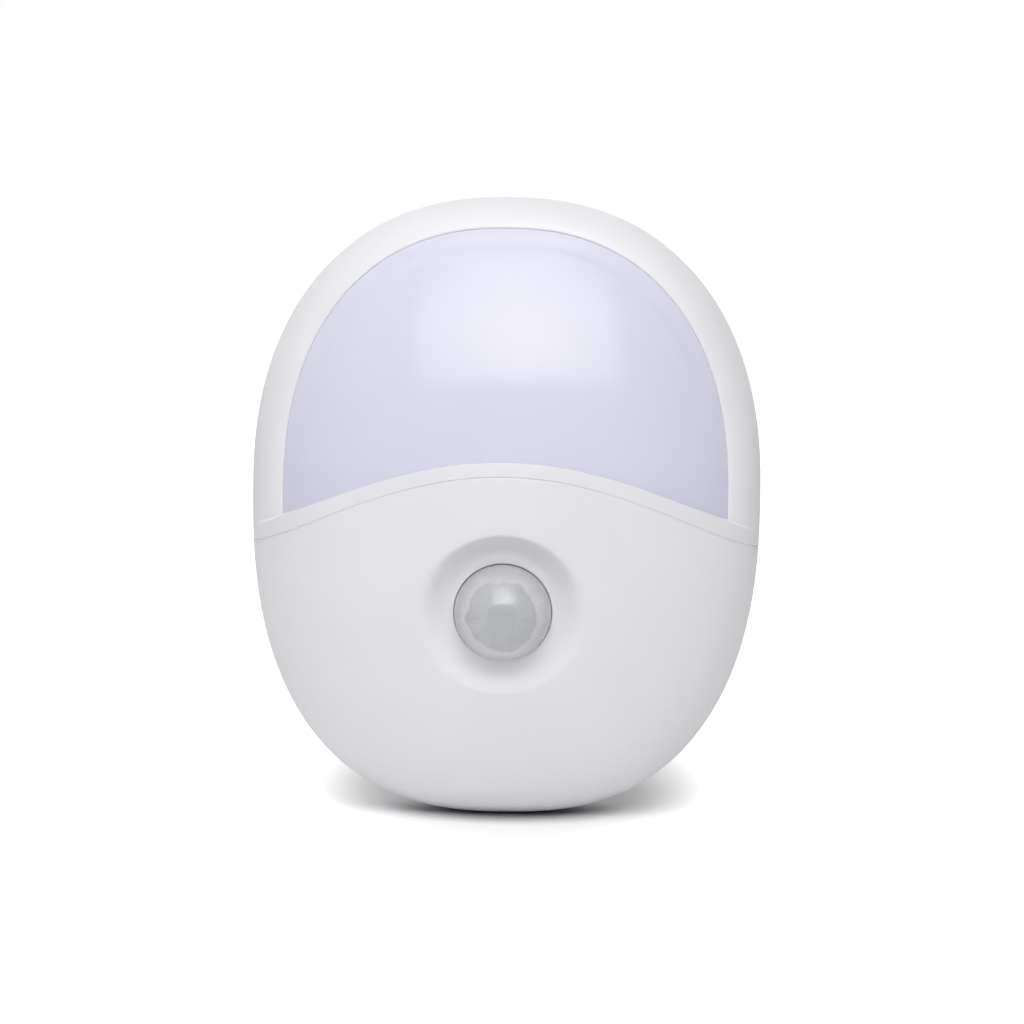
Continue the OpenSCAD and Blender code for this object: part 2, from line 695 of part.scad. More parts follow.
// Wire that leaves one board, bends over and comes down on the other
wire_d = 1.2;
wire_bend = 2;
wire_over = 1.6;         // height of the wire's middle over the tray's wall
wire_top = tray_h + tray_depth + wire_over - wire_bend;
wire_x = 2;
wire_low_z = 0.5;
wire_high_z = 11;

module bent_wire(x) {
    peg([x, wire_low_z], 0, wire_top, wire_d);
    peg([x, wire_high_z], led_top, wire_top, wire_d);
    for (s = [-1, 1])
        translate(at([x, s < 0 ? wire_low_z + wire_bend : wire_high_z - wire_bend], wire_top))
            rotate([180, -90 * s, 0])
                rotate_extrude(angle = 90) translate([wire_bend, 0]) circle(d = wire_d);
    translate(at([x, wire_low_z + wire_bend], wire_top + wire_bend))
        cylinder(h = wire_high_z - wire_low_z - 2 * wire_bend, d = wire_d);
}

module led_wires() color("firebrick")
    for (x = [-wire_x, wire_x]) bent_wire(x);

// ---- main board and what sits on it ----

board_inset = 5;
board_top_z = 3;
tube_clear = 0.4;        // round the screw tubes

module main_board() color("forestgreen") difference() {
    plate(-board_t, 0) intersection() {
        oval_shape(board_inset);
        translate([-half_w, board_top_z - 2 * lower_h]) square([2 * half_w, 2 * lower_h]);
    }
    for (p = lower_spots) peg(p, -board_t - over, over, tube_d + 2 * tube_clear);
    for (p = board_posts) peg(p, -board_t - over, over, small_screw_d + screw_fit);
}

module board_screws() color("silver")
    for (p = board_posts)
        screw(p, 0, floor_in + tip_up, small_screw_d, small_head_d, small_head_t);

film_size = [13, 6];
film_in = 19;            // from the left side to the capacitor's middle
film_up = 26.5;          // from the lowest point up to it
film_p = [film_in - half_w, film_up - lower_h];
film_h = 10;
film_foot = 0.6;
film_foot_w = 1.6;
film_foot_in = 1.1;

module film_capacitor() color("gold") {
    block(film_p, film_size, film_foot, film_foot + film_h);
    for (s = [-1, 1])
        block(film_p + [s * (film_size.x / 2 - film_foot_in), 0], [film_foot_w, film_size.y],
            0, film_foot);
}

can_size = 8;            // diameter of the electrolytic capacitor
can_in = 19.5;
can_z = -25;
can_h = 11.3;
bead_h = 2.8;            // height of the rolled bead near its foot
bead_t = 0.6;
bead_in = 0.4;
top_t = 0.3;             // its drawn-in top
top_in = 0.5;

module electrolytic_capacitor() color("midnightblue") {
    p = [half_w - can_in, can_z];
    peg(p, 0, bead_h - bead_t, can_size);
    cone(p, bead_h - bead_t, bead_h, can_size, can_size - 2 * bead_in);
    cone(p, bead_h, bead_h + bead_t, can_size - 2 * bead_in, can_size);
    peg(p, bead_h + bead_t, can_h - top_t, can_size);
    peg(p, can_h - top_t, can_h, can_size - 2 * top_in);
}

chip_leg = [1.2, 0.45];
chip_leg_t = 0.15;
chip_leg_out = 0.3;      // from the chip's side to the middle of its leg
rectifier_up = 24.5;     // from the lowest point up to each chip's middle
driver_up = 15.5;
timer_up = 18.5;
driver_x = -6.5;
timer_x = 10.5;
bridge_size = [4, 4.8];
bridge_t = 2.5;
driver_size = [4, 5];
timer_size = [4, 9.9];
chip_t = 1.6;

// Chip lying on the main board, legs down both long sides; back puts it on the rear face
module chip(p, size, legs, t, back) {
    h = function (v) back ? -board_t - v : v;
    slab = function (a, b) [min(h(a), h(b)), max(h(a), h(b))];
    body_span = slab(chip_leg_t, t);
    foot_span = slab(0, chip_leg_t);
    block(p, size, body_span[0], body_span[1]);
    for (s = [-1, 1]) for (i = [0:legs - 1])
        block(p + [s * (size.x / 2 + chip_leg_out), (i - (legs - 1) / 2) * size.y / legs],
            chip_leg, foot_span[0], foot_span[1]);
}

module bridge_rectifier() color("dimgray")
    chip([0, rectifier_up - lower_h], bridge_size, 2, bridge_t, true);
module driver_chip() color("dimgray")
    chip([driver_x, driver_up - lower_h], driver_size, 4, chip_t, false);
module sensor_chip() color("dimgray")
    chip([timer_x, timer_up - lower_h], timer_size, 8, chip_t, true);

fuse_z = -12;
fuse_len = 7.6;
fuse_d = 3.4;
fuse_leg = 1.2;          // from its end to its bent leg
fuse_lift = 0.7;         // between it and the board
leg_d = 0.7;

module fuse_resistor() color("seagreen") {
    p = [0, fuse_z];
    span = fuse_len / 2 + fuse_leg;
    lift = fuse_d / 2 + fuse_lift;
    for (s = [-1, 1]) peg(p + [s * span, 0], -board_t - lift - leg_d / 2, -board_t, leg_d);
    translate(at(p - [span, 0], -board_t - lift)) rotate([0, 90, 0])
        cylinder(h = 2 * span, d = leg_d);
    translate(at(p - [fuse_len / 2, 0], -board_t - lift)) rotate([0, 90, 0])
        cylinder(h = fuse_len, d = fuse_d);
}

disc_d = 8;              // the varistor's disc, which stands on edge under the capacitor
disc_t = 3.2;
disc_gap = 1.9;
disc_x = 7;              // from the capacitor's middle to the disc's
disc_up = 1;
disc_leg = 2.5;          // from its middle to each leg

module varistor() color("royalblue") {
    p = film_p + [disc_x, -(film_size.y + disc_t) / 2 - disc_gap];
    translate(at(p - [0, disc_t / 2], disc_up + disc_d / 2)) cylinder(h = disc_t, d = disc_d);
    for (s = [-1, 1]) peg(p + [s * disc_leg, 0], 0, disc_up + disc_d / 4, leg_d);
}

resistor_size = [1.6, 3.2];
resistor_t = 0.6;
resistor_pitch = 4;
sensor_board_half = 12.5;
resistor_gap = 1.3;      // from the sensor board's lower edge to the middle of the row under it
left_row = film_p + [-7, 8];
right_row = [half_w - can_in - 6.5, post_z - 1];
low_row = [1.5, lens_z - sensor_board_half - resistor_gap];
resistor_spots = concat(
    [for (i = [0, 1]) left_row + [0, i * resistor_pitch]],
    [for (i = [0, 1]) right_row + [i * resistor_pitch, 0]],
    [for (i = [-1:1]) low_row + [i * resistor_pitch, 0]]);

module resistors() color("black")
    for (p = resistor_spots) block(p, resistor_size, 0, resistor_t);

// ---- sensor board on its standoffs, behind the lens ----

sensor_board_t = 1.2;
sensor_board_size = [19, 2 * sensor_board_half];
standoff_z = 9.8;
standoff_d = 4;
sensor_h = standoff_len + sensor_board_t;
can_t = 4.4;
can_rim = 0.45;          // width of the can's foot rim
can_rim_t = 0.5;
sight = [4, 3];          // the can's window
sight_drop = 0.1;
sight_t = 0.4;

module sensor_standoffs() color("whitesmoke")
    for (s = [-1, 1]) peg(lens_p + [0, s * standoff_z], 0, standoff_len, standoff_d);

module sensor_board() color("forestgreen")
    block(lens_p, sensor_board_size, standoff_len, sensor_h);

module sensor_can() color("silver") {
    face = sensor_h + can_t;
    peg(lens_p, sensor_h, sensor_h + can_rim_t, can_d);
    difference() {
        peg(lens_p, sensor_h + can_rim_t, face, can_d - 2 * can_rim);
        block(lens_p, sight, face - sight_drop - sight_t, face + over);
    }
    block(lens_p, sight, face - sight_drop - sight_t, face - sight_drop);
}

header_x = -7;
header_size = [2.5, 7.6];
header_h = 2.5;
header_pitch = 2.54;
header_pin = 0.6;

module pin_header() color("black") {
    p = lens_p + [header_x, 0];
    block(p, header_size, 0, header_h);
    for (i = [-1:1])
        block(p + [0, header_pitch * i], [header_pin, header_pin], header_h, standoff_len);
}

// ---- slide switch ----

switch_len = 13;
switch_w = 2 * (switch_drop - board_t);
switch_in = 4;           // from the recess's floor back to the switch's face
switch_deep = 6.4;
lever_gap = 0.15;
lever_back = 3.4;        // how far the lever reaches into the switch's body
lever_end = 0.3;         // room behind it
switch_x = recess_x - switch_in;
slide_x = recess_x + slide_lift;

module switch_body() color("silver") difference() {
    switch_block(switch_x - switch_deep, switch_x, switch_len, switch_w);
    switch_block(switch_x - lever_back - lever_end, switch_x + over, slot_len,
        lever_w + 2 * lever_gap);
}

module switch_lever() color("dimgray")
    switch_block(switch_x - lever_back, slide_x, lever_len, lever_w);

groove_pitch = 1.1;      // of the grooves across the grip
grip_groove = 0.6;

// The knob's plate slides on the recess's floor and keeps the slot closed
module switch_knob() color("white") difference() {
    union() {
        switch_block(slide_x, slide_x + slide_t, slide_len, slide_w);
        switch_block(slide_x, knob_x, knob_len, knob_w);
    }
    for (i = [-1:1]) translate(at([knob_x, switch_z + groove_pitch * i], -switch_drop))
        rotate([90, 0, 0]) cylinder(h = knob_w + 2 * over, d = grip_groove, center = true);
}

// ---- plug boss, contact pins and retainer ----

flange_r = 21;
boss_flange_t = 2;
face_t = 2.5;
boss_wall = 2.2;
pin_spots = [[-pin_pitch / 2, 0], [pin_pitch / 2, 0]];
collar_d = 7.4;
collar_t = 1.5;
earth_depth = 15;
earth_wall = 1.2;
root_fit = 0.04;
notch_w = 7;
notch_deep = 2.6;
notch_end = 0.01;        // the notch's end stands this far off the shell's back
pillar_up = 8.2;         // from the boss's lowest point to its screws
pillar_z = pillar_up - boss_d / 2;
pillar_x = 6;
retainer_h = 2;
face_h = -split;                      // engagement face, seen from the parting plane
boss_floor = face_h + face_t;
collar_top = boss_floor + collar_t;

module plug_boss() color("white") difference() {
    union() {
        difference() {
            union() {
                peg([0, 0], face_h, floor_in, boss_d);
                peg([0, 0], floor_in, floor_in + boss_flange_t, 2 * flange_r);
            }
            peg([0, 0], boss_floor, 0, boss_d - 2 * boss_wall);
        }
        peg([0, earth_z], face_h + over, face_h + earth_depth + earth_wall, earth_d + 2 * earth_wall);
        for (s = [-1, 1]) peg([s * pillar_x, pillar_z], face_h + over, collar_top, post_d);
        for (s = [-1, 1]) block([0, s * (boss_d / 2 - notch_deep - boss_wall / 2)],
            [notch_w + 2 * boss_wall, boss_wall + over], face_h + over, floor_in + over);
    }
    for (s = [-1, 1]) block([0, s * (boss_d / 2 + over)], [notch_w, 2 * (notch_deep + over)],
        face_h - over, back_h - notch_end);
    peg([0, earth_z], face_h - over, face_h + earth_depth, earth_d);
    for (p = pin_spots) peg(p, face_h - over, collar_top, root_d + root_fit);
    for (s = [-1, 1])
        peg([s * pillar_x, pillar_z], boss_floor - over, collar_top + over,
            small_screw_d + screw_fit);
}

// Pin with a rounded tip, a thicker root in the face, a collar and a tail for its wire
root_more = 0.6;
root_d = pin_d + root_more;
tail_d = 3;
tail_len = 6;
tip_r = 1.6;
tip_step = 15;

module contact_pin(p) translate([p.x, 0, p.y]) rotate([-90, 0, 0]) {
    rotate_extrude() polygon(concat([[0, -face_t], [root_d / 2, -face_t], [root_d / 2, 0],
        [pin_d / 2, 0]],
        [for (a = [0:tip_step:90])
            [pin_d / 2 - tip_r + tip_r * cos(a), pin_len - tip_r + tip_r * sin(a)]],
        [[0, pin_len]]));
    translate([0, 0, -face_t - collar_t]) cylinder(h = collar_t, d = collar_d);
    translate([0, 0, -face_t - collar_t - tail_len]) cylinder(h = tail_len, d = tail_d);
}

module pin_left() color("silver") contact_pin(pin_spots[0]);
module pin_right() color("silver") contact_pin(pin_spots[1]);

retainer_size = [pin_pitch + 8.6, 9.2];
retainer_z = -2.6;
ear_edge = 0.3;          // of its ears round the pillars
tail_fit = 0.2;
screw_bite = 0.8;        // reach of its screws' tips below the pillars' roots

module pin_retainer() color("white") difference() {
    plate(collar_top, collar_top + retainer_h) intersection() {
        union() {
            translate([0, retainer_z]) square(retainer_size, center = true);
            for (s = [-1, 1])
                translate([s * pillar_x, pillar_z]) circle(d = post_d + 2 * ear_edge);
            translate([-pillar_x, pillar_z - post_d / 2 - ear_edge])
                square([2 * pillar_x, retainer_z - pillar_z]);
        }
        circle(d = boss_d - 2 * boss_wall - 2 * fit_gap);
    }
    for (p = pin_spots) peg(p, face_h, 0, tail_d + tail_fit);
    for (s = [-1, 1]) peg([s * pillar_x, pillar_z], face_h, 0, small_screw_d + screw_fit);
}

module pin_screws() color("silver")
    for (s = [-1, 1])
        screw([s * pillar_x, pillar_z], collar_top + retainer_h, boss_floor - screw_bite,
            small_screw_d, small_head_d, small_head_t);

lead_d = 2;

module lead(p) peg(p, collar_top + tail_len, -board_t, lead_d);
module live_wire() color("saddlebrown") lead(pin_spots[0]);
module neutral_wire() color("steelblue") lead(pin_spots[1]);

tip_gap = 0.4;           // left ahead of the housing screws' tips

module housing_screws() color("silver")
    for (p = screw_spots) screw(p, head_seat, front_reach - tip_gap, screw_d, head_d, head_t);

rear_shell();
front_frame();
lower_cover();
diffuser();
pir_lens();
lens_retainer();
retainer_screws();
light_tray();
led_board();
led_chips();
tray_screws();
light_sensor();
led_wires();
main_board();
board_screws();
film_capacitor();
electrolytic_capacitor();
bridge_rectifier();
fuse_resistor();
varistor();
driver_chip();
sensor_chip();
resistors();
sensor_board();
sensor_can();
sensor_standoffs();
pin_header();
switch_body();
switch_lever();
switch_knob();
plug_boss();
pin_left();
pin_right();
pin_retainer();
pin_screws();
live_wire();
neutral_wire();
housing_screws();
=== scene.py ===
"""Looks of a plug-in night light with a motion sensor, built round its CAD frame.

The face's shapes are worked out in millimetres, as on a mould drawing: x across, z up and
h the height above the parting plane between the front and the rear shell.
"""

import math

import bpy
from mathutils import Matrix, Vector


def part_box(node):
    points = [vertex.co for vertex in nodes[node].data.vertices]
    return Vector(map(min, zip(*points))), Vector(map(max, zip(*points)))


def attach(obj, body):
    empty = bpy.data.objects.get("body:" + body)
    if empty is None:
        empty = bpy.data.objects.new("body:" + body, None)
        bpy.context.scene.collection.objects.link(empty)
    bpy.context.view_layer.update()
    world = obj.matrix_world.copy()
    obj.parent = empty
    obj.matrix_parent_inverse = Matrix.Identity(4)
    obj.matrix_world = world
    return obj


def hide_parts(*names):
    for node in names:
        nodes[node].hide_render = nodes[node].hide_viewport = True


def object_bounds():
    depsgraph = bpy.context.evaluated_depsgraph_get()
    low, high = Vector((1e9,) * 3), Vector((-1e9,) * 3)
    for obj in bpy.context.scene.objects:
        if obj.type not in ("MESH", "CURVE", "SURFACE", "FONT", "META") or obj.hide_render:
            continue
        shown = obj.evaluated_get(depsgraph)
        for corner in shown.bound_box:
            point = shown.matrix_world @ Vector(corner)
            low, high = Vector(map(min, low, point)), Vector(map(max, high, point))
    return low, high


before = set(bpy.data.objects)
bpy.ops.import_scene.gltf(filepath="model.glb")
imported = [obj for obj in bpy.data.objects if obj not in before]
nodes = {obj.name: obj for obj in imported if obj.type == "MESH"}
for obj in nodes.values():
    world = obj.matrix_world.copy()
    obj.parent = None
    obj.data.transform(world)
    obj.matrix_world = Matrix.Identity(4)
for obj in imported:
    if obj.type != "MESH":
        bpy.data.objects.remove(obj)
cad_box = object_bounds()


# ---------------------------------------------------------------------------------------
# Rear shell.  The back half of the housing: a flat-backed tub of white ABS, injection
# moulded with a fine satin texture.  Four screw tubes and seven board posts stand inside,
# and the right-hand wall has a finger recess for the slide switch.

MM = 0.001
low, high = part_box("rear_shell")
HALF_W, UPPER, LOWER = high.x / MM, high.z / MM, -low.z / MM
PARTING_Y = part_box("main_board")[0].y / MM
REAR_DEPTH = high.y / MM - PARTING_Y
WALL, FIT_GAP = 2.0, 0.04
UPPER_SQUARE, LOWER_SQUARE = 2.29, 2.48  # powers of the outline: 2 would be an ellipse
BACK_INSET = 6.8  # by which the flat back is smaller than the outline, all round
EDGE_BREAK, BREAK_SHARE = 0.22, 0.3  # small round of the edges at the parting line
BOSS_R = 18.2  # of the plug boss, which comes out through the back
SHARP_ANGLE = 36  # degrees between two faces past which their edge stays sharp
MERGE = 1e-7


def at(x, z, h):
    """Place of a point of the face in the frame, in metres."""
    return Vector((x, PARTING_Y - h, z)) * MM


def mix(a, b, f):
    return a + (b - a) * f


def signed_power(value, power):
    return math.copysign(abs(value) ** power, value)


def oval(t, half_w, upper, lower):
    """Point (x, z) at angle t of two half superellipses that share their width."""
    c, s = math.cos(t), math.sin(t)
    power = 2 / (UPPER_SQUARE if s >= 0 else LOWER_SQUARE)
    return half_w * signed_power(c, power), (upper if s >= 0 else lower) * signed_power(s, power)


def outline(t, inset=0.0):
    return oval(t, HALF_W - inset, UPPER - inset, LOWER - inset)


def cross(point, target, f):
    """Point at share f of the way from one (x, z) to another."""
    return mix(point[0], target[0], f), mix(point[1], target[1], f)


def alone(piece=None):
    """Selects this piece and nothing else."""
    bpy.ops.object.select_all(action="DESELECT")
    if piece is not None:
        piece.select_set(True)
        bpy.context.view_layer.objects.active = piece


def smooth_edges(piece):
    alone(piece)
    bpy.ops.object.shade_smooth_by_angle(angle=math.radians(SHARP_ANGLE))


def settle(name):
    """Names the active mesh, closes its seams, turns its faces outwards and smooths it."""
    piece = bpy.context.object
    piece.name = piece.data.name = name
    bpy.ops.object.mode_set(mode="EDIT")
    bpy.ops.mesh.select_all(action="SELECT")
    bpy.ops.mesh.remove_doubles(threshold=MERGE)
    bpy.ops.mesh.normals_make_consistent(inside=False)
    bpy.ops.object.mode_set(mode="OBJECT")
    bpy.ops.object.transform_apply(location=True, rotation=True, scale=True)
    smooth_edges(piece)
    return piece


def skin(name, rows):
    """A moulding's skin: a grid whose rows are laid on the given rows of points."""
    alone()
    bpy.ops.mesh.primitive_grid_add(
        x_subdivisions=len(rows[0]) - 1, y_subdivisions=len(rows) - 1, size=1)
    places = [c for row in rows for point in row for c in point]
    bpy.context.object.data.vertices.foreach_set("co", places)
    return settle(name)


QUARTER = [math.pi / 2 * j / 24 for j in range(25)]
ACROSS_BACK = (0.04, 0.2, 0.45, 0.75, 1)


def rear_row(t, hole_r):
    """Closed section of the tub at angle t: wall, flat back, and back inside."""
    def shell(offset, depth, f):
        x, z = outline(t, offset + BACK_INSET * (1 - math.cos(f)))
        return at(x, z, -depth * math.sin(f))

    edge = outline(t, BACK_INSET)
    way = math.atan2(edge[1], edge[0])
    hole = hole_r * math.cos(way), hole_r * math.sin(way)
    floor_in = REAR_DEPTH - WALL
    nick = EDGE_BREAK * BREAK_SHARE
    row = [at(*outline(t, EDGE_BREAK), 0), at(*outline(t, nick), -nick)]
    row += [shell(0, REAR_DEPTH, f) for f in QUARTER if REAR_DEPTH * math.sin(f) > EDGE_BREAK]
    row += [at(*cross(edge, hole, f), -REAR_DEPTH) for f in ACROSS_BACK]
    row += [at(*hole, -floor_in)]
    row += [shell(WALL, floor_in, f) for f in QUARTER[::-3]]
    return row + [row[0]]


class Shade:
    """A value or colour in a material's node tree; arithmetic on it adds Math nodes."""

    def __init__(self, tree, socket=None):
        self.tree, self.socket = tree, socket

    def node(self, kind, output=0, settings=(), **inputs):
        """Adds a node with those settings and inputs, and gives one of its outputs.

        An input is given by its name, or as _ and its number where names repeat."""
        node = self.tree.nodes.new("ShaderNode" + kind)
        for name, value in dict(settings).items():
            setattr(node, name, value)
        for name, value in inputs.items():
            index = int(name[1:]) if name[0] == "_" else name.replace("_", " ")
            self.feed(node.inputs[index], value)
        return Shade(self.tree, node.outputs[output])

    def beside(self, output):
        """Another output of the node that gives this value."""
        return Shade(self.tree, self.socket.node.outputs[output])

    def feed(self, socket, value):
        """Links a value to a socket, or sets the socket to a plain number or colour."""
        if isinstance(value, Shade):
            self.tree.links.new(value.socket, socket)
        else:
            socket.default_value = value

    def maths(self, operation, *others):
        """A Math node on this value and the others."""
        terms = {f"_{i + 1}": other for i, other in enumerate(others)}
        return self.node("Math", 0, {"operation": operation}, _0=self, **terms)

    def blend(self, one, other):
        """Colour between the two by this value."""
        return self.node("Mix", 2, {"data_type": "RGBA"}, _0=self, _6=one, _7=other)

    def ramp(self, low, high):
        """0 below low and 1 above high, with soft ends."""
        return self.node("MapRange", 0, {"interpolation_type": "SMOOTHSTEP"},
                         Value=self, From_Min=low, From_Max=high)

    def __add__(self, other):
        return self.maths("ADD", other)

    __radd__ = __add__

    def __sub__(self, other):
        return self.maths("SUBTRACT", other)

    def __rsub__(self, other):
        return self.node("Math", 0, {"operation": "SUBTRACT"}, _0=other, _1=self)

    def __mul__(self, other):
        return self.maths("MULTIPLY", other)

    __rmul__ = __mul__

    def __mod__(self, other):
        return self.maths("FLOORED_MODULO", other)

    def __pow__(self, other):
        return self.maths("POWER", other)

    def __abs__(self):
        return self.maths("ABSOLUTE")


def linear(red, green, blue):
    """Shader colour of a colour given in 0 to 255 display steps."""
    steps = [c / 255 for c in (red, green, blue)]
    return (*[c / 12.92 if c <= 0.04045 else ((c + 0.055) / 1.055) ** 2.4 for c in steps], 1)


def tint(colour, factor):
    """The colour made that much lighter or darker."""
    return (*[min(1, c * factor) for c in colour[:3]], 1)


def opened(material):
    """The material's surface shader, a start for its node tree, and the place on the piece."""
    start = Shade(material.node_tree)
    surface = material.node_tree.nodes["Principled BSDF"]
    return surface, start, start.node("TexCoord", "Object")


CLOUD_SCALE = 60.0


def finish(name, colour, roughness, grain=0.25, depth=0.003, mottle=0.012, rough_by=0.05,
           **settings):
    """Surface with a fine grain of that width and depth in mm, and slightly uneven colour."""
    material = bpy.data.materials.new(name)
    material.use_nodes = True
    surface, start, place = opened(material)
    cloud = start.node("TexNoise", 0, Vector=place, Scale=CLOUD_SCALE, Detail=3.0)
    speck = start.node("TexNoise", 0, Vector=place, Scale=1 / (grain * MM), Detail=2.0)
    colours = cloud.ramp(0.3, 0.7).blend(tint(colour, 1 - mottle), tint(colour, 1 + mottle))
    bump = start.node("Bump", Height=speck, Distance=depth * MM, Strength=1.0)
    start.feed(surface.inputs["Base Color"], colours)
    start.feed(surface.inputs["Roughness"], roughness + (cloud - 0.5) * rough_by)
    start.feed(surface.inputs["Normal"], bump)
    for key, value in settings.items():
        surface.inputs[key.replace("_", " ")].default_value = value
    return material


def dress(piece, material):
    piece.data.materials.clear()
    piece.data.materials.append(material)


housing_white = finish("satin_white_abs", linear(228, 227, 231), 0.38, IOR=1.5)


def rod(x, z, h0, h1, r, sides=48):
    """Cylinder along the depth, between two heights of the face."""
    alone()
    bpy.ops.mesh.primitive_cylinder_add(
        vertices=sides, radius=r * MM, depth=abs(h1 - h0) * MM,
        location=at(x, z, (h0 + h1) / 2), rotation=(math.pi / 2, 0, 0))
    return bpy.context.object


def brick(x, z, h0, h1, w, tall):
    """Block whose middle is at (x, z), w wide and that tall, between two heights."""
    alone()
    bpy.ops.mesh.primitive_cube_add(size=1, location=at(x, z, (h0 + h1) / 2))
    bpy.context.object.scale = Vector((w, abs(h1 - h0), tall)) * MM
    return bpy.context.object


def joined(parts):
    """The parts as one mesh."""
    alone()
    for part in parts:
        part.select_set(True)
    bpy.context.view_layer.objects.active = parts[0]
    if len(parts) > 1:
        bpy.ops.object.join()
    bpy.ops.object.transform_apply(location=True, rotation=True, scale=True)
    return parts[0]


def carve(piece, parts, operation="DIFFERENCE"):
    """Cuts the parts out of the piece, or adds them to it."""
    tool = joined(parts)
    alone(piece)
    cut = piece.modifiers.new("cut", "BOOLEAN")
    cut.operation, cut.object, cut.solver = operation, tool, "EXACT"
    cut.use_self = True
    bpy.ops.object.modifier_apply(modifier=cut.name)
    bpy.data.objects.remove(tool)


AROUND = 360
turn = [2 * math.pi * i / AROUND for i in range(AROUND + 1)]
rear_shell = skin("rear_shell_moulding", [rear_row(t, BOSS_R + FIT_GAP) for t in turn])

# Screw tubes and posts: ROOT is their reach into the floor, OVER that of a cut past a face
ROOT, OVER = 0.6, 1
SCREW_INSET, SCREW_ANGLE = 8.2, 60
TUBE_R, HEAD_WELL_R, SHANK_R, HEAD_SEAT = 4.0, 3.0, 1.7, -6.0
POST_R, POST_HOLE_R, HOLE_FOOT = 2.5, 1.05, 1
BOARD_T, TRAY_H = 1.6, 1.0
FLOOR_IN = WALL - REAR_DEPTH
screw_spots = [outline(math.radians(a), SCREW_INSET)
               for a in (SCREW_ANGLE, 180 - SCREW_ANGLE, 180 + SCREW_ANGLE, -SCREW_ANGLE)]
POST_IN, POST_Z, FOOT_X, FOOT_UP = 15.5, -13.0, 9.0, 9.5
TRAY_POST_DOWN, TRAY_POST_Z, TRAY_POST_OUT = 11.0, 12.0, 0.5
post_x = HALF_W - POST_IN
post_spots = [(s * x, z, -BOARD_T) for s in (1, -1)
              for x, z in ((post_x, POST_Z), (FOOT_X, FOOT_UP - LOWER))]
post_spots += [(0, UPPER - TRAY_POST_DOWN, TRAY_H)]
post_spots += [(s * (post_x + TRAY_POST_OUT), TRAY_POST_Z, TRAY_H) for s in (1, -1)]

# The slide switch's knob runs in a recess whose floor is a thicker pad of the wall
SWITCH_Z, SWITCH_H = -8.0, -4.6
SLOT_LEN, SLOT_W, SLOT_REACH = 7.6, 2.8, 4
RECESS_LEN, RECESS_W = 16.8, 4.8
PAD_T, PAD_EDGE, PAD_SHORT = 1.7, 0.4, 0.3
SLIDE_LIFT = 0.15
RECESS_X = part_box("switch_knob")[0].x / MM - SLIDE_LIFT
pad_x, pad_out = RECESS_X - PAD_T, HALF_W - WALL - PAD_SHORT


def switch_brick(x0, x1, long, wide):
    """Block at the switch between two distances from the middle of the housing."""
    return brick((x0 + x1) / 2, SWITCH_Z, SWITCH_H - wide / 2, SWITCH_H + wide / 2, x1 - x0, long)


pad = switch_brick(pad_x, pad_out, RECESS_LEN + 2 * PAD_EDGE, RECESS_W + 2 * PAD_EDGE)
carve(rear_shell, [rod(x, z, FLOOR_IN - ROOT, 0, TUBE_R) for x, z in screw_spots]
      + [rod(x, z, FLOOR_IN - ROOT, top, POST_R) for x, z, top in post_spots] + [pad], "UNION")
carve(rear_shell,
      [rod(x, z, -REAR_DEPTH - OVER, HEAD_SEAT, HEAD_WELL_R) for x, z in screw_spots]
      + [rod(x, z, HEAD_SEAT - OVER, OVER, SHANK_R) for x, z in screw_spots]
      + [rod(x, z, FLOOR_IN + HOLE_FOOT, top + OVER, POST_HOLE_R) for x, z, top in post_spots]
      + [switch_brick(RECESS_X, HALF_W + OVER, RECESS_LEN, RECESS_W),
         switch_brick(pad_x - SLOT_REACH, HALF_W, SLOT_LEN, SLOT_W)])
smooth_edges(rear_shell)
dress(rear_shell, housing_white)
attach(rear_shell, "root")
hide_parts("rear_shell")


# ---------------------------------------------------------------------------------------
# Housing screws.  Four zinc-plated screws with cross recesses, sunk in wells in the back.
# They hold the frame and the lower cover to the rear shell.

def node_finish(node, material):
    """Gives a CAD node that stays as it is its own finish."""
    dress(nodes[node], material)


zinc = finish("zinc_plate", (0.68, 0.69, 0.70, 1), 0.32, grain=0.1, depth=0.002, mottle=0.06,
              rough_by=0.16, Metallic=1.0)
node_finish("housing_screws", zinc)


# ---------------------------------------------------------------------------------------
# Plug boss.  A round insert of white ABS, welded to the shell by a flange inside.  Its outer
# face has the two pins, the blind hole for a socket's earth pin, and a keying notch above
# and below.

FACE_H = PARTING_Y  # the outer face is where y is 0
POLE_MERGE = 2e-6


def turned(name, profile, steps, x=0.0, z=0.0):
    """Body of revolution about an axis along the depth: profile is (radius, depth) points."""
    alone()
    bpy.ops.mesh.primitive_circle_add(vertices=len(profile), fill_type="NOTHING")
    ring = bpy.context.object
    places = [c for r, y in profile for c in (r * MM, y * MM, 0)]
    ring.data.vertices.foreach_set("co", places)
    bpy.ops.object.mode_set(mode="EDIT")
    bpy.ops.mesh.select_all(action="SELECT")
    bpy.ops.mesh.spin(steps=steps, angle=2 * math.pi, center=(0, 0, 0), axis=(0, 1, 0))
    bpy.ops.mesh.select_all(action="SELECT")
    bpy.ops.mesh.remove_doubles(threshold=POLE_MERGE)
    bpy.ops.mesh.delete_loose()
    bpy.ops.mesh.select_all(action="SELECT")
    bpy.ops.transform.translate(value=(x * MM, 0, z * MM))
    bpy.ops.object.mode_set(mode="OBJECT")
    return settle(name)


def round_corner(r, y, radius, from_a, to_a, steps=6):
    """Points of an arc in a turned profile, round the centre (r, y)."""
    return [(r + radius * math.cos(math.radians(mix(from_a, to_a, i / steps))),
             y + radius * math.sin(math.radians(mix(from_a, to_a, i / steps))))
            for i in range(steps + 1)]


EASE_ANGLE = 50


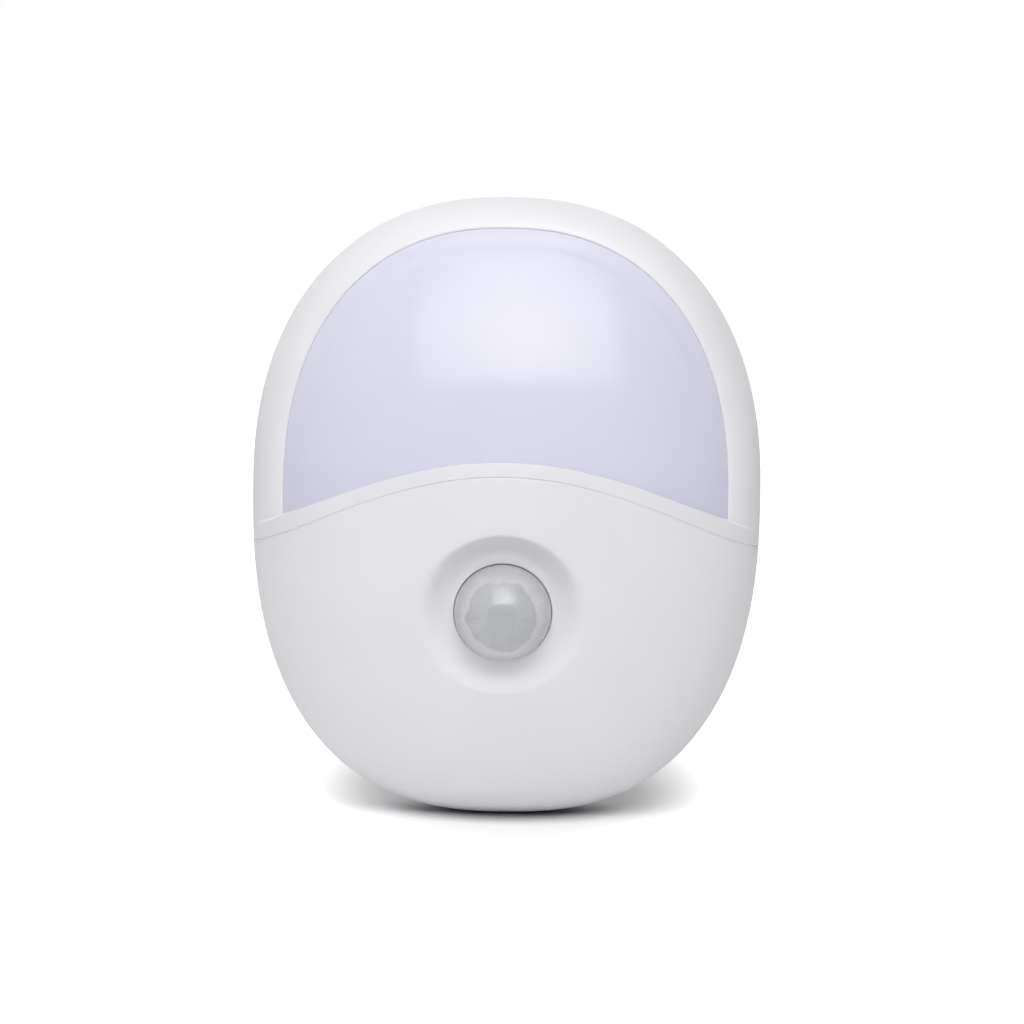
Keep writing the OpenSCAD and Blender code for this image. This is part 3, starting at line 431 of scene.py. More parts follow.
def eased(piece, width, segments=2):
    """Rounds a moulding's sharp edges by that width in mm."""
    alone(piece)
    bevel = piece.modifiers.new("edge", "BEVEL")
    bevel.width, bevel.segments = width * MM, segments
    bevel.limit_method, bevel.angle_limit = "ANGLE", math.radians(EASE_ANGLE)
    bpy.ops.object.modifier_apply(modifier=bevel.name)
    smooth_edges(piece)


BOSS_WALL, FACE_T, FLANGE_R, FLANGE_T = 2.2, 2.5, 21.0, 2.0
NOTCH_W, NOTCH_DEEP, NOTCH_TOOL, FACE_ROUND = 7.0, 2.6, 10, 0.8
EARTH_Z, EARTH_R, EARTH_DEPTH, EARTH_WALL = 10.0, 3.0, 15.0, 1.2
PIN_X, ROOT_R, COLLAR_T, PIN_FIT = 9.5, 2.7, 1.5, 0.02
PILLAR_X, PILLAR_Z = 6.0, -10.0
BOSS_EASE = 0.2
back_y = PARTING_Y - FLOOR_IN
boss = turned("plug_boss_moulding", [
    (0, -FACE_T), (BOSS_R - BOSS_WALL, -FACE_T), (BOSS_R - BOSS_WALL, back_y - FLANGE_T),
    (FLANGE_R, back_y - FLANGE_T), (FLANGE_R, back_y), (BOSS_R, back_y)]
    + round_corner(BOSS_R - FACE_ROUND, -FACE_ROUND, FACE_ROUND, 0, 90) + [(0, 0)], steps=144)
collar_h = FACE_H + FACE_T + COLLAR_T
carve(boss, [rod(0, EARTH_Z, FACE_H + OVER, FACE_H + EARTH_DEPTH + EARTH_WALL,
                 EARTH_R + EARTH_WALL)]
      + [rod(s * PILLAR_X, PILLAR_Z, FACE_H + OVER, collar_h, POST_R) for s in (-1, 1)]
      + [brick(0, s * (BOSS_R - NOTCH_DEEP - BOSS_WALL / 2), FACE_H + OVER, FLOOR_IN + OVER,
               NOTCH_W + 2 * BOSS_WALL, BOSS_WALL + OVER) for s in (-1, 1)], "UNION")
carve(boss, [brick(0, s * (BOSS_R + NOTCH_TOOL / 2 - NOTCH_DEEP), FACE_H - OVER,
                   -REAR_DEPTH - 0.01, NOTCH_W, NOTCH_TOOL) for s in (-1, 1)]
      + [rod(0, EARTH_Z, FACE_H - OVER, FACE_H + EARTH_DEPTH, EARTH_R)]
      + [rod(s * PIN_X, 0, FACE_H - OVER, collar_h, ROOT_R + PIN_FIT) for s in (-1, 1)]
      + [rod(s * PILLAR_X, PILLAR_Z, FACE_H + FACE_T - OVER, collar_h + OVER, POST_HOLE_R)
         for s in (-1, 1)])
eased(boss, BOSS_EASE)
dress(boss, housing_white)
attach(boss, "root")
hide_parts("plug_boss")


# ---------------------------------------------------------------------------------------
# Contact pins.  Two turned brass pins, nickel plated, with a rounded tip, a thicker root
# pressed into the boss's face, a collar behind it and a thin tail for the wire.

PIN_R, PIN_LEN, TIP_R, SHOULDER = 2.4, 19.0, 1.6, 0.4
COLLAR_R, TAIL_R, TAIL_LEN, PIN_CHAMFER = 3.7, 1.5, 6.0, 0.25
tail_y = -FACE_T - COLLAR_T
nickel = finish("nickel_plate", (0.78, 0.765, 0.735, 1), 0.2, grain=0.12, depth=0.0012,
                mottle=0.03, rough_by=0.1, Metallic=1.0)
for side, name in ((-1, "pin_left"), (1, "pin_right")):
    pin = turned(name + "_turned", [
        (0, tail_y - TAIL_LEN), (TAIL_R - PIN_CHAMFER, tail_y - TAIL_LEN),
        (TAIL_R, tail_y - TAIL_LEN + PIN_CHAMFER), (TAIL_R, tail_y), (COLLAR_R, tail_y),
        (COLLAR_R, -FACE_T), (ROOT_R, -FACE_T), (ROOT_R, 0), (PIN_R, 0.0),
        (PIN_R, SHOULDER), (PIN_R, PIN_LEN / 2)]
        + round_corner(PIN_R - TIP_R, PIN_LEN - TIP_R, TIP_R, 0, 90, 10) + [(0, PIN_LEN)],
        steps=64, x=side * PIN_X)
    dress(pin, nickel)
    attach(pin, "root")
    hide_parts(name)


# ---------------------------------------------------------------------------------------
# Inside of the plug.  A matt white plate on two small screws holds the pins' collars, and
# two insulated wires run from the pins' tails to the main board.

inner_white = finish("matt_white_abs", linear(235, 235, 234), 0.55, depth=0.006)
node_finish("pin_retainer", inner_white)
node_finish("pin_screws", zinc)
for node, name, colour in (("live_wire", "brown_insulation", linear(96, 62, 40)),
                           ("neutral_wire", "blue_insulation", linear(48, 92, 160))):
    node_finish(node, finish(name, colour, 0.42, grain=0.4, depth=0.008, mottle=0.05))


# ---------------------------------------------------------------------------------------
# Main board.  Glass-fibre board under green solder resist, held on four posts by small
# zinc-plated screws.  It carries the mains parts and the two chips.

WEAVE_SCALE, WEAVE_DEPTH, RESIST_CLOUD = 560.0, 0.01, 90.0


def board_finish(name, colour, spread):
    """Solder resist over woven glass: the weave shows as a faint square grain."""
    material = finish(name, colour, 0.36, grain=0.6, depth=0.004, mottle=0.05, Coat_Weight=0.3)
    surface, start, place = opened(material)
    along, across = (start.node("TexWave", 1, {"bands_direction": way}, Vector=place,
                                Scale=WEAVE_SCALE) for way in "XZ")
    weave = (along + across) * 0.5
    cloud = start.node("TexNoise", 0, Vector=place, Scale=RESIST_CLOUD, Detail=3.0)
    shade = (weave * 0.5 + cloud * 0.5).ramp(0.25, 0.75)
    start.feed(surface.inputs["Base Color"],
               shade.blend(tint(colour, 1 - spread), tint(colour, 1 + spread)))
    start.feed(surface.inputs["Normal"],
               start.node("Bump", Height=weave, Distance=WEAVE_DEPTH * MM, Strength=1.0))
    return material


green_board = board_finish("green_solder_resist", linear(38, 104, 62), 0.12)
node_finish("main_board", green_board)
node_finish("board_screws", zinc)


# ---------------------------------------------------------------------------------------
# Parts on the main board: moulded box and sleeved can capacitors, epoxy-dipped varistor,
# coated fuse resistor, black epoxy chips and chip resistors.

PART_FINISHES = (
    ("film_capacitor", "yellow_box", linear(222, 182, 74), 0.4),
    ("electrolytic_capacitor", "dark_sleeve", linear(44, 50, 78), 0.25),
    ("varistor", "blue_epoxy", linear(40, 88, 160), 0.28),
    ("fuse_resistor", "green_coat", linear(96, 140, 112), 0.45),
    ("bridge_rectifier", "rectifier_epoxy", linear(40, 40, 42), 0.5),
    ("driver_chip", "driver_epoxy", linear(34, 34, 36), 0.55),
    ("sensor_chip", "chip_epoxy", linear(36, 36, 38), 0.55),
    ("resistors", "resistor_glaze", linear(30, 30, 32), 0.4),
    ("pin_header", "header_plastic", linear(28, 28, 30), 0.5))
for node, name, colour, roughness in PART_FINISHES:
    node_finish(node, finish(name, colour, roughness, grain=0.15, depth=0.004, mottle=0.06))


# ---------------------------------------------------------------------------------------
# Slide switch.  A tinned steel body soldered to the main board, a black lever, and a white
# knob outside whose plate slides on the recess's floor and keeps the slot closed.

tin = finish("tinned_steel", (0.72, 0.72, 0.71, 1), 0.3, grain=0.2, depth=0.002, mottle=0.05,
             rough_by=0.14, Metallic=1.0)
node_finish("switch_body", tin)
node_finish("switch_lever", finish("lever_plastic", linear(36, 36, 38), 0.45))

SLIDE_T, SLIDE_EASE = 0.6, 0.18
GRIP_LEN, GRIP_W, GRIP_ROOT, GRIP_EASE = 4.2, 2.8, 0.1, 0.25
GRIP_STEP, GRIP_GROOVE_R, GRIP_GROOVE_LIFT = 1.1, 0.3, 0.02
knob_low, knob_high = (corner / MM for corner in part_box("switch_knob"))
grip_x, slide_x = knob_high.x, knob_low.x
slide_len, slide_w = knob_high.z - knob_low.z, knob_high.y - knob_low.y
knob = joined([switch_brick(slide_x, slide_x + SLIDE_T, slide_len, slide_w)])
eased(knob, SLIDE_EASE)
grip = joined([switch_brick(slide_x + GRIP_ROOT, grip_x, GRIP_LEN, GRIP_W)])
eased(grip, GRIP_EASE, segments=3)
carve(knob, [grip], "UNION")
carve(knob, [rod(grip_x + GRIP_GROOVE_LIFT, SWITCH_Z + GRIP_STEP * i, SWITCH_H - GRIP_W,
                 SWITCH_H + GRIP_W, GRIP_GROOVE_R, 24) for i in (-1, 0, 1)])
knob.name = knob.data.name = "switch_knob_moulding"
smooth_edges(knob)
dress(knob, housing_white)
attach(knob, "mode_slider")
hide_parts("switch_knob")


# ---------------------------------------------------------------------------------------
# Motion sensor.  A small board on two white standoffs carries the sensor's metal can with
# its dark window, right behind the lens.

node_finish("sensor_standoffs", inner_white)
node_finish("sensor_board", green_board)
node_finish("sensor_can", tin)


# ---------------------------------------------------------------------------------------
# Light unit.  A white tray that acts as reflector, a white-lacquered LED board with seven
# yellow-phosphor LEDs, the daylight sensor and a pair of thin wires to the main board.

node_finish("light_tray", inner_white)
node_finish("led_board", board_finish("white_solder_resist", linear(236, 236, 230), 0.02))
node_finish("led_chips", finish("led_phosphor", linear(238, 212, 110), 0.35, depth=0.002))
node_finish("light_sensor", finish("sensor_ceramic", linear(196, 132, 84), 0.45))
node_finish("led_wires", finish("red_insulation", linear(170, 44, 38), 0.42, grain=0.4,
                                depth=0.008, mottle=0.05))
node_finish("tray_screws", zinc)


# ---------------------------------------------------------------------------------------
# Front frame.  One white ABS moulding: the rim round the window and the arched band under
# it, which stands proud of the rim by a small step at each side.  A ledge inside holds the
# diffuser, a tongue along the groove goes under the cover, and two screws hold it down.

DOME_DEPTH = 24.0
RIM_SIDE, RIM_TOP, RIM_RISE, RIM_ROUND = 5.45, 4.7, 9.7, 1.59
GROOVE_END, GROOVE_MID, ARCH_POWER = -7.75, 3.9, 1.37  # ends, crown and curve of the groove
GROOVE_W, GROOVE_DEPTH, GROOVE_ROUND = 0.03, 0.4, 0.25
BAND_W, BAND_FLARE, BAND_TIP = 2.2, 0.75, 2.6  # the tip is the band's width at its two ends
TONGUE_W, LEDGE_W, LEDGE_T = 1.2, 1.6, 1.2
DIFFUSER_T, DIFFUSER_DROP, SEAT_GAP, RIM_SEAT_GAP = 1.8, 1.0, 0.9, 0.2
SOFT_EDGE, EDGE_SINK = 0.22, 0.35  # width of the window's edge round, and its depth's share

WIN_W, WIN_U, WIN_L = HALF_W - RIM_SIDE, UPPER - RIM_TOP, LOWER - RIM_SIDE


def smooth(f):
    """Soft step from 0 to 1."""
    f = min(1.0, max(0.0, f))
    return f * f * (3 - 2 * f)


def level(x, z, inset=0.0):
    """Share of the way from the centre to the outline: 1 on the outline itself."""
    x, full = abs(x) / (HALF_W - inset), UPPER_SQUARE if z >= 0 else LOWER_SQUARE
    z = abs(z) / ((UPPER if z >= 0 else LOWER) - inset)
    power = mix(2, full, smooth(math.hypot(x, z)))
    return (x ** power + z ** power) ** (1 / power)


def cap(share):
    return math.sqrt(max(0.0, 1 - share * share))


def dome(x, z):
    """Height of the front's domed face."""
    return DOME_DEPTH * cap(level(x, z))


def inner(x, z):
    """Height of the dome's inner face."""
    return (DOME_DEPTH - WALL) * cap(level(x, z, WALL))


def outline_x(z):
    """Half the outline's width at the height z."""
    power = UPPER_SQUARE if z >= 0 else LOWER_SQUARE
    return HALF_W * (1 - (abs(z) / (UPPER if z >= 0 else LOWER)) ** power) ** (1 / power)


def oval_angle(z, upper, lower):
    """Angle at which an oval of those heights passes the height z."""
    if z >= 0:
        return math.asin((z / upper) ** (UPPER_SQUARE / 2))
    return -math.asin((-z / lower) ** (LOWER_SQUARE / 2))


GROOVE_X = outline_x(GROOVE_END)


def groove_z(x):
    return GROOVE_END + (GROOVE_MID - GROOVE_END) * max(0, 1 - (x / GROOVE_X) ** 2) ** ARCH_POWER


def band_z(x):
    return groove_z(x) + BAND_W + BAND_FLARE * (x / HALF_W) ** 2


def tongue_at(x):
    """Width of the tongue, which runs out towards the groove's ends."""
    return max(FIT_GAP, TONGUE_W * min(1, 3 * (1 - abs(x) / GROOVE_X)))


def rim(f):
    """Height of the rim at share f of the way from its outer edge to the window."""
    return RIM_RISE * math.sqrt(max(0.0, 1 - (1 - f) ** RIM_ROUND))


ARC = [math.pi / 2 * j / 5 for j in range(6)]
FACE_N, RIM_STARTS = 28, (0.002, 0.006, 0.012)
LIP_MIN, SKIRT_HIGH, SKIRT_LOW = 0.1, 1.7 * WALL, 1.12 * WALL


def frame_row(q, p, band, groove=False):
    """Closed section from q on the outer edge to p on the window's edge.

    band is the share of band against rim, and groove says that q lies on the groove."""
    span = math.hypot(p[0] - q[0], p[1] - q[1])
    way = ((p[0] - q[0]) / span, (p[1] - q[1]) / span)

    def on(d):
        return q[0] + way[0] * d, q[1] + way[1] * d

    def top(d):
        return mix(rim(min(1.0, d / span)), dome(*on(d)), band)

    def rounded(d, side, radius, a):
        """Point of the round edge of that radius whose wall stands at distance d."""
        s = d + side * radius * (1 - math.cos(a))
        return at(*on(s), top(d + side * radius) - EDGE_SINK * radius * (1 - math.sin(a)))

    if groove:
        first = min(GROOVE_ROUND, top(GROOVE_ROUND) / 2)
        row = [rounded(0, 1, first, a) for a in ARC]
    else:
        first = 0.0
        nick = EDGE_BREAK * BREAK_SHARE
        row = [at(*on(EDGE_BREAK), 0), at(*on(nick), nick), at(*on(0), EDGE_BREAK)]
        row += [at(*on(d), max(EDGE_BREAK, top(d))) for d in RIM_STARTS]
    spread = 1 if groove else 2
    across = [mix(first, span - SOFT_EDGE, (j / FACE_N) ** spread) for j in range(1, FACE_N + 1)]
    row += [at(*on(d), top(d)) for d in across]
    row += [rounded(span, -1, SOFT_EDGE, a) for a in ARC[-2::-1]]

    seat = mix(RIM_RISE - DIFFUSER_T - RIM_SEAT_GAP,
               dome(*p) - DIFFUSER_DROP - DIFFUSER_T - SEAT_GAP, band)
    under = seat - LEDGE_T
    lip = (p[0] + way[0] * LEDGE_W, p[1] + way[1] * LEDGE_W)
    row += [at(*p, seat), at(*lip, seat), at(*lip, under)]
    if groove:
        root = inner(*q)
        deck = max(root + LIP_MIN, dome(*q) - GROOVE_DEPTH)
        tip = (q[0], q[1] - tongue_at(q[0]))
        fall = dome(*q) - dome(*tip)
        row += [at(*on(span * f), min(under, inner(*on(span * f)))) for f in (0.65, 0.35, 0)]
        row += [at(*tip, max(0, root - fall)), at(*tip, deck - fall), at(*q, deck)]
    else:
        row += [at(*on(d), min(under, inner(*on(d)))) for d in (SKIRT_HIGH, SKIRT_LOW)]
        row += [at(*on(WALL * f), 0) for f in (1, 0.75, 0.5, 0.25)]
    return row + [row[0]]


STEP_Z = GROOVE_END + BAND_TIP
# Path over the step from rim to band: distance along it, and share of the height climbed
STEP = [(0.08, 0.03), (0.16, 0.12), (0.24, 0.27), (0.34, 0.48), (0.46, 0.7), (0.6, 0.86),
        (0.78, 0.96), (1.0, 1.0)]
t_out = oval_angle(STEP_Z, UPPER, LOWER)
t_win = oval_angle(band_z(WIN_W), WIN_U, WIN_L)
corner_x = oval(t_win, WIN_W, WIN_U, WIN_L)[0]
RIM_N, FAN_N, ARCH_N = 360, 14, 260
FAN_STEP = 0.02
step_len = STEP[-1][0]


def side_fan(side):
    """Sections over the step and round the band's end, on one side (+1 or -1)."""
    spots = [(STEP_Z - d, corner_x - d, climbed) for d, climbed in STEP]
    spots += [(mix(STEP_Z - step_len, GROOVE_END + GROOVE_W / 2, j / FAN_N),
               corner_x - step_len - FAN_STEP * j, 1.0) for j in range(1, FAN_N + 1)]
    return [frame_row((side * outline_x(z), z), (side * x, band_z(x)), climbed)
            for z, x, climbed in spots]


rows = [frame_row(outline(mix(t_out, math.pi - t_out, i / RIM_N)),
                  oval(mix(t_win, math.pi - t_win, i / RIM_N), WIN_W, WIN_U, WIN_L), 0)
        for i in range(RIM_N + 1)]
rows += side_fan(-1)
band_x = corner_x - step_len - FAN_STEP * (FAN_N + 1)
for i in range(1, ARCH_N):
    c = -math.cos(math.pi * i / ARCH_N)
    rows.append(frame_row((c * GROOVE_X, groove_z(c * GROOVE_X) + GROOVE_W / 2),
                          (c * band_x, band_z(c * band_x)), 1, groove=True))
rows += side_fan(1)[::-1]
front_frame = skin("front_frame_moulding", rows + [rows[0]])
dress(front_frame, housing_white)
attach(front_frame, "root")
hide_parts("front_frame")


# ---------------------------------------------------------------------------------------
# Lower cover.  A white domed ABS moulding that closes the front below the groove, with a
# round dish sunk into it for the sensor lens.  Two of the housing screws pull it down.

LENS_Z = -17.2
HOLE_R, HOLE_ROUND, HOLE_DEPTH = 7.56, 0.12, 1.6
DISH_Z = LENS_Z - 0.25
FLOOR_R, SIDE_FLOOR_R, DISH_R = 9.1, 7.9, 12.35
FLOOR_H, FLOOR_TILT = 19.2, 0.09
# The dish's wall at its bottom, top and sides: power of its curve, and softness of its rim
LOW_POWER, HIGH_POWER, SIDE_POWER = 1.15, 2.2, 1.6
LOW_SOFT, HIGH_SOFT, SIDE_SOFT = 0.006, 0.07, 0.2
DISH_REACH = 1.8


def dish_cut(x, z):
    """Depth of the dish at a point: flat floor, hollow wall, and a rim crisp at the bottom."""
    dz = z - DISH_Z
    r = math.hypot(x, dz)
    deep = dome(x, z) - (FLOOR_H + FLOOR_TILT * (z - LENS_Z))
    up = smooth(0.5 + 0.5 * dz / max(r, 1e-6))
    side = (x / max(r, 1e-6)) ** 2
    floor_r = mix(FLOOR_R, SIDE_FLOOR_R, side)
    f = max(0.0, (r - floor_r) / (DISH_R - floor_r))
    if f > DISH_REACH:
        return 0.0
    soft = mix(mix(LOW_SOFT, HIGH_SOFT, up), SIDE_SOFT, side)
    left = 1 - f ** mix(mix(LOW_POWER, HIGH_POWER, up), SIDE_POWER, side)
    return deep * soft * math.log1p(math.exp(left / soft))


LOW_N, COVER_ARCH_N = 320, 240


def cover_loop(inset):
    """Loop round the cover's edge: along the outline, then along the groove."""
    t0 = oval_angle(GROOVE_END - GROOVE_W / 2, UPPER, LOWER)
    loop = [outline(mix(math.pi - t0, 2 * math.pi + t0, i / LOW_N), inset)
            for i in range(LOW_N + 1)]
    for i in range(1, COVER_ARCH_N):
        x = GROOVE_X * math.cos(math.pi * i / COVER_ARCH_N)
        clear = max(0, tongue_at(x) + FIT_GAP - GROOVE_W) if inset else 0
        loop.append((x * (HALF_W - inset) / HALF_W, groove_z(x) - GROOVE_W / 2 - clear))
    return loop


BEYOND_DISH = DISH_R * 1.12
DISH_N, COVER_N, COVER_BACK_N = 44, 30, 8
# Round of the outer edge: shares of EDGE_BREAK in from the edge, and up
FOOT_ROUND = ((0.02, 0.8), (0.1, 0.5), (0.3, 0.3), (0.6, 0.1), (1, 0))


def cover_row(e, e_in, groove):
    """Closed section from the lens's hole out to the edge e and back inside."""
    centre = (0.0, DISH_Z)
    far = math.hypot(e[0], e[1] - DISH_Z)
    far_in = math.hypot(e_in[0], e_in[1] - DISH_Z)
    rise = (LENS_Z - DISH_Z) * (e[1] - DISH_Z) / far
    hole = rise + math.sqrt(rise ** 2 + HOLE_R ** 2 - (LENS_Z - DISH_Z) ** 2)

    def out(r):
        return cross(centre, e, r / far)

    def back(r):
        return cross(centre, e_in, r / far_in)

    def height(r):
        return dome(*out(r)) - dish_cut(*out(r))

    def on_face(start, end, n, power=1):
        """Points on the face from one distance to another, closer at the end."""
        distances = [mix(start, end, 1 - (1 - j / n) ** power) for j in range(1, n + 1)]
        return [at(*out(r), height(r)) for r in distances]

    row = [at(*out(hole), height(hole) - HOLE_DEPTH)]
    row += [at(*out(hole + HOLE_ROUND * (1 - math.cos(a))),
               height(hole) - HOLE_ROUND * (1 - math.sin(a))) for a in ARC]
    row += on_face(hole + HOLE_ROUND, BEYOND_DISH, DISH_N)
    if groove:
        radius = min(GROOVE_ROUND, dome(*out(far - GROOVE_ROUND)) / 2)
        row += on_face(BEYOND_DISH, far - radius, COVER_N, 1.2)
        row += [at(*out(far - radius * (1 - math.cos(a))),
                   dome(*out(far - radius)) - EDGE_SINK * radius * (1 - math.sin(a)))
                for a in ARC[-2::-1]]
        row += [at(*e, dome(*e) - GROOVE_DEPTH + FIT_GAP),
                at(*e_in, dome(*e_in) - GROOVE_DEPTH + FIT_GAP), at(*e_in, inner(*e_in))]
    else:
        row += on_face(BEYOND_DISH, far, COVER_N, 2.2)[:-1] + [at(*e, EDGE_BREAK)]
        row += [at(*out(far - EDGE_BREAK * k), EDGE_BREAK * s) for k, s in FOOT_ROUND]
        row += [at(*cross(e, e_in, f), 0) for f in (0.5, 0.8, 1)]
    for j in range(1, COVER_BACK_N + 1):
        p = back(mix(DISH_R, far_in, 1 - (j / COVER_BACK_N) ** 2))
        row.append(at(*p, inner(*p)))
    for r in (mix(FLOOR_R, DISH_R, 0.7), mix(FLOOR_R, DISH_R, 0.3), hole):
        row.append(at(*back(r), inner(*back(r)) - dish_cut(*back(r))))
    return row + [row[0]]


rows = [cover_row(e, e_in, i > LOW_N)
        for i, (e, e_in) in enumerate(zip(cover_loop(0), cover_loop(WALL)))]
lower_cover = skin("lower_cover_moulding", rows + [rows[0]])
dress(lower_cover, housing_white)
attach(lower_cover, "root")
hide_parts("lower_cover")


# ---------------------------------------------------------------------------------------
# Diffuser.  A domed cap of opal acrylic over the light, moulded, and snapped into the
# frame's ledge.  It eases down to the rim all round, with a shallow strip along its top.

CENTRE = (0.0, 17.0)
EASE_W, EDGE_DIP, SNAP_GAP = 12.0, 0.1, 0.02
# The strip is full from STRIP_HIGH up and dies out towards STRIP_LOW
STRIP_W, CREASE_W, STRIP_DIP = 2.2, 1.1, 0.36
STRIP_LOW, STRIP_HIGH = 12.0, 36.0
WINDOW_ARC_N, WINDOW_BAND_N = 320, 220
ROW_N, ROW_POWER, UNDER_SHARES = 56, 1.7, (0.0, 0.01, 0.04, 0.12, 0.3, 0.6, 1.0)


def window_loop():
    """Loop of (x, z) round the cap, first along the rim and then along the band."""
    half = WIN_W - SNAP_GAP, WIN_U - SNAP_GAP, WIN_L - SNAP_GAP
    t0 = oval_angle(band_z(half[0]) + SNAP_GAP, *half[1:])
    corner = oval(t0, *half)[0]
    loop = [oval(mix(t0, math.pi - t0, i / WINDOW_ARC_N), *half)
            for i in range(WINDOW_ARC_N + 1)]
    for i in range(1, WINDOW_BAND_N):
        x = -corner * math.cos(math.pi * i / WINDOW_BAND_N)
        loop.append((x, band_z(x) + SNAP_GAP))
    return loop


def window_face(x, z):
    """Height of the cap's outer face at a point."""
    power, tall = (UPPER_SQUARE, WIN_U) if z >= 0 else (LOWER_SQUARE, WIN_L)
    share = (abs(x / WIN_W) ** power + abs(z / tall) ** power) ** (1 / power)
    edge_x, edge_z = x / share, z / share
    inside = math.hypot(edge_x - x, edge_z - z)
    fall = dome(edge_x, edge_z) - DIFFUSER_DROP - (RIM_RISE - EDGE_DIP)
    dip = STRIP_DIP * smooth((edge_z - STRIP_LOW) / (STRIP_HIGH - STRIP_LOW))
    strip = smooth(inside / STRIP_W) * (1 - smooth((inside - STRIP_W) / CREASE_W))
    return dome(x, z) - DIFFUSER_DROP - fall * max(0.0, 1 - inside / EASE_W) ** 2 - dip * strip


def diffuser_row(foot):
    """Section from the crown out to the edge and back underneath."""
    def face(f, under=0.0):
        p = cross(foot, CENTRE, f)
        return at(*p, window_face(*p) - under)

    row = [face((j / ROW_N) ** ROW_POWER) for j in range(ROW_N, -1, -1)]
    return row + [face(f, DIFFUSER_T) for f in UNDER_SHARES]


rows = [diffuser_row(foot) for foot in window_loop()]
diffuser = skin("opal_diffuser_cap", rows + [rows[0]])
opal = finish("opal_acrylic", linear(213, 213, 233), 0.13, depth=0.0005, rough_by=0.03,
              IOR=1.5, Specular_IOR_Level=0.42, Specular_Tint=(1.0, 0.97, 0.62, 1))
dress(diffuser, opal)
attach(diffuser, "root")
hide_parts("diffuser")


# ---------------------------------------------------------------------------------------
# Sensor lens.  A small dome of cloudy grey polyethylene with a flange behind the cover.
# Its inside is moulded in rings of flat lenslets, which show through as soft facets, and
# the retainer holds it by its flange.

LENS_R, LENS_BASE, LENS_T = 7.5, 19.0, 0.7
LENS_SEAT, LENS_FLANGE_R, LENS_FLANGE_T = 16.0, 9.1, 1.0
base_y, seat_y = PARTING_Y - LENS_BASE, PARTING_Y - LENS_SEAT
foot_y = seat_y + LENS_FLANGE_T
lens = turned(
    "sensor_lens_dome", round_corner(0, base_y, LENS_R, -90, 0, 40)
    + [(LENS_R, seat_y), (LENS_FLANGE_R, seat_y), (LENS_FLANGE_R, foot_y),
       (LENS_R - LENS_T, foot_y)]
    + round_corner(0, base_y, LENS_R - LENS_T, 0, -90, 20), steps=128, z=LENS_Z)


# Lenslets: a disc in a hexagon, rings of facets round it, and a rim of rays, radii in mm
DISC_R, HEXAGON_R, POLYGON_R = 2.3, 2.95, 5.2
HEXAGON, POLYGON, OUTER = 6, 11, 14
INNER_LINE_R, OUTER_LINE_R = 2.7, 6.2
SMEAR, LENS_COVER = 1.6 * MM, 0.78


def lens_finish():
    """Cloudy plastic whose colour steps softly from lenslet to lenslet, with painted light that
    makes it paler towards the bottom.
    """
    material = finish("cloudy_polyethylene", linear(208, 210, 211), 0.12, depth=0.001,
                      rough_by=0.03, Coat_Weight=0.6, Coat_Roughness=0.1, Alpha=LENS_COVER)
    surface, start, place = opened(material)
    waver = start.node("TexNoise", 1, Vector=place, Scale=260.0, Detail=1.0)
    shift = start.node("VectorMath", 0, {"operation": "SUBTRACT"}, _0=waver, _1=(0.5, 0.5, 0.5))
    moved = start.node("VectorMath", 0, {"operation": "MULTIPLY_ADD"},
                       _0=shift, _1=(SMEAR, SMEAR, SMEAR), _2=place)
    x = start.node("SeparateXYZ", 0, Vector=moved)
    z = x.beside(2) - LENS_Z * MM
    radius = ((x * x + z * z) ** 0.5) * (1 / MM)
    angle = z.maths("ARCTAN2", x)

    def across(sides, turned_by):
        """Distance out across a polygon with that many sides, and the way along its side."""
        sector = 2 * math.pi / sides
        part = (angle + (turned_by + 4 * math.pi)) % sector - sector / 2
        return radius * part.maths("COSINE"), abs(part)

    def line(value, edge, width):
        """1 on a soft line where the value passes the edge."""
        return 1 - abs(value - edge).ramp(0.0, width)

    # Zones with soft edges: the disc, the hexagon round it and the outer ring
    hexagon, _ = across(HEXAGON, 0.3)
    polygon, spoke = across(POLYGON, 0.2)
    _, ray = across(OUTER, 0.1)
    cloud = start.node("TexNoise", 0, Vector=place, Scale=420.0, Detail=2.0)
    disc = 1 - radius.ramp(DISC_R - 0.3, DISC_R + 0.3)
    middle = 1 - hexagon.ramp(HEXAGON_R - 0.25, HEXAGON_R + 0.25)
    ring = polygon.ramp(POLYGON_R - 0.25, POLYGON_R + 0.25)
    # The rim is the palest zone and the disc the darkest; all of it is painted darker upwards and
    # paler downwards, painted light gathering at the bottom of the dome
    tone_with_painted_light = 0.36 - disc * 0.08 - middle * 0.06 + ring * 0.26 - z * 16
    spokes = line(spoke, math.pi / POLYGON, 0.07) * (1 - middle) * (1 - ring) * 0.08
    rays = line(ray, math.pi / OUTER, 0.06) * ring * 0.08
    rounds = (line(radius, OUTER_LINE_R, 0.3) + line(radius, INNER_LINE_R, 0.25)) * 0.07
    edges = line(polygon, POLYGON_R - 0.1, 0.3) * 0.12 - line(polygon, POLYGON_R + 0.5, 0.4) * 0.12
    shade = (tone_with_painted_light - spokes + rays + rounds - edges + (cloud - 0.5) * 0.4).ramp(0.0, 1.0)
    start.feed(surface.inputs["Base Color"],
               shade.blend(linear(186, 188, 193), linear(226, 226, 228)))
    return material


dress(lens, lens_finish())
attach(lens, "root")
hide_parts("pir_lens")


# ---------------------------------------------------------------------------------------
# Lens retainer.  A matt white ring on two small screws presses the lens's flange against
# the cover from inside.

node_finish("lens_retainer", inner_white)
node_finish("retainer_screws", zinc)


# ---------------------------------------------------------------------------------------
# Stage.  A white paper floor that runs on behind, a large soft box in front and above, a
# second one nearly overhead, a pale room that is brighter on the left, and a camera a
# little above the middle of the night light.

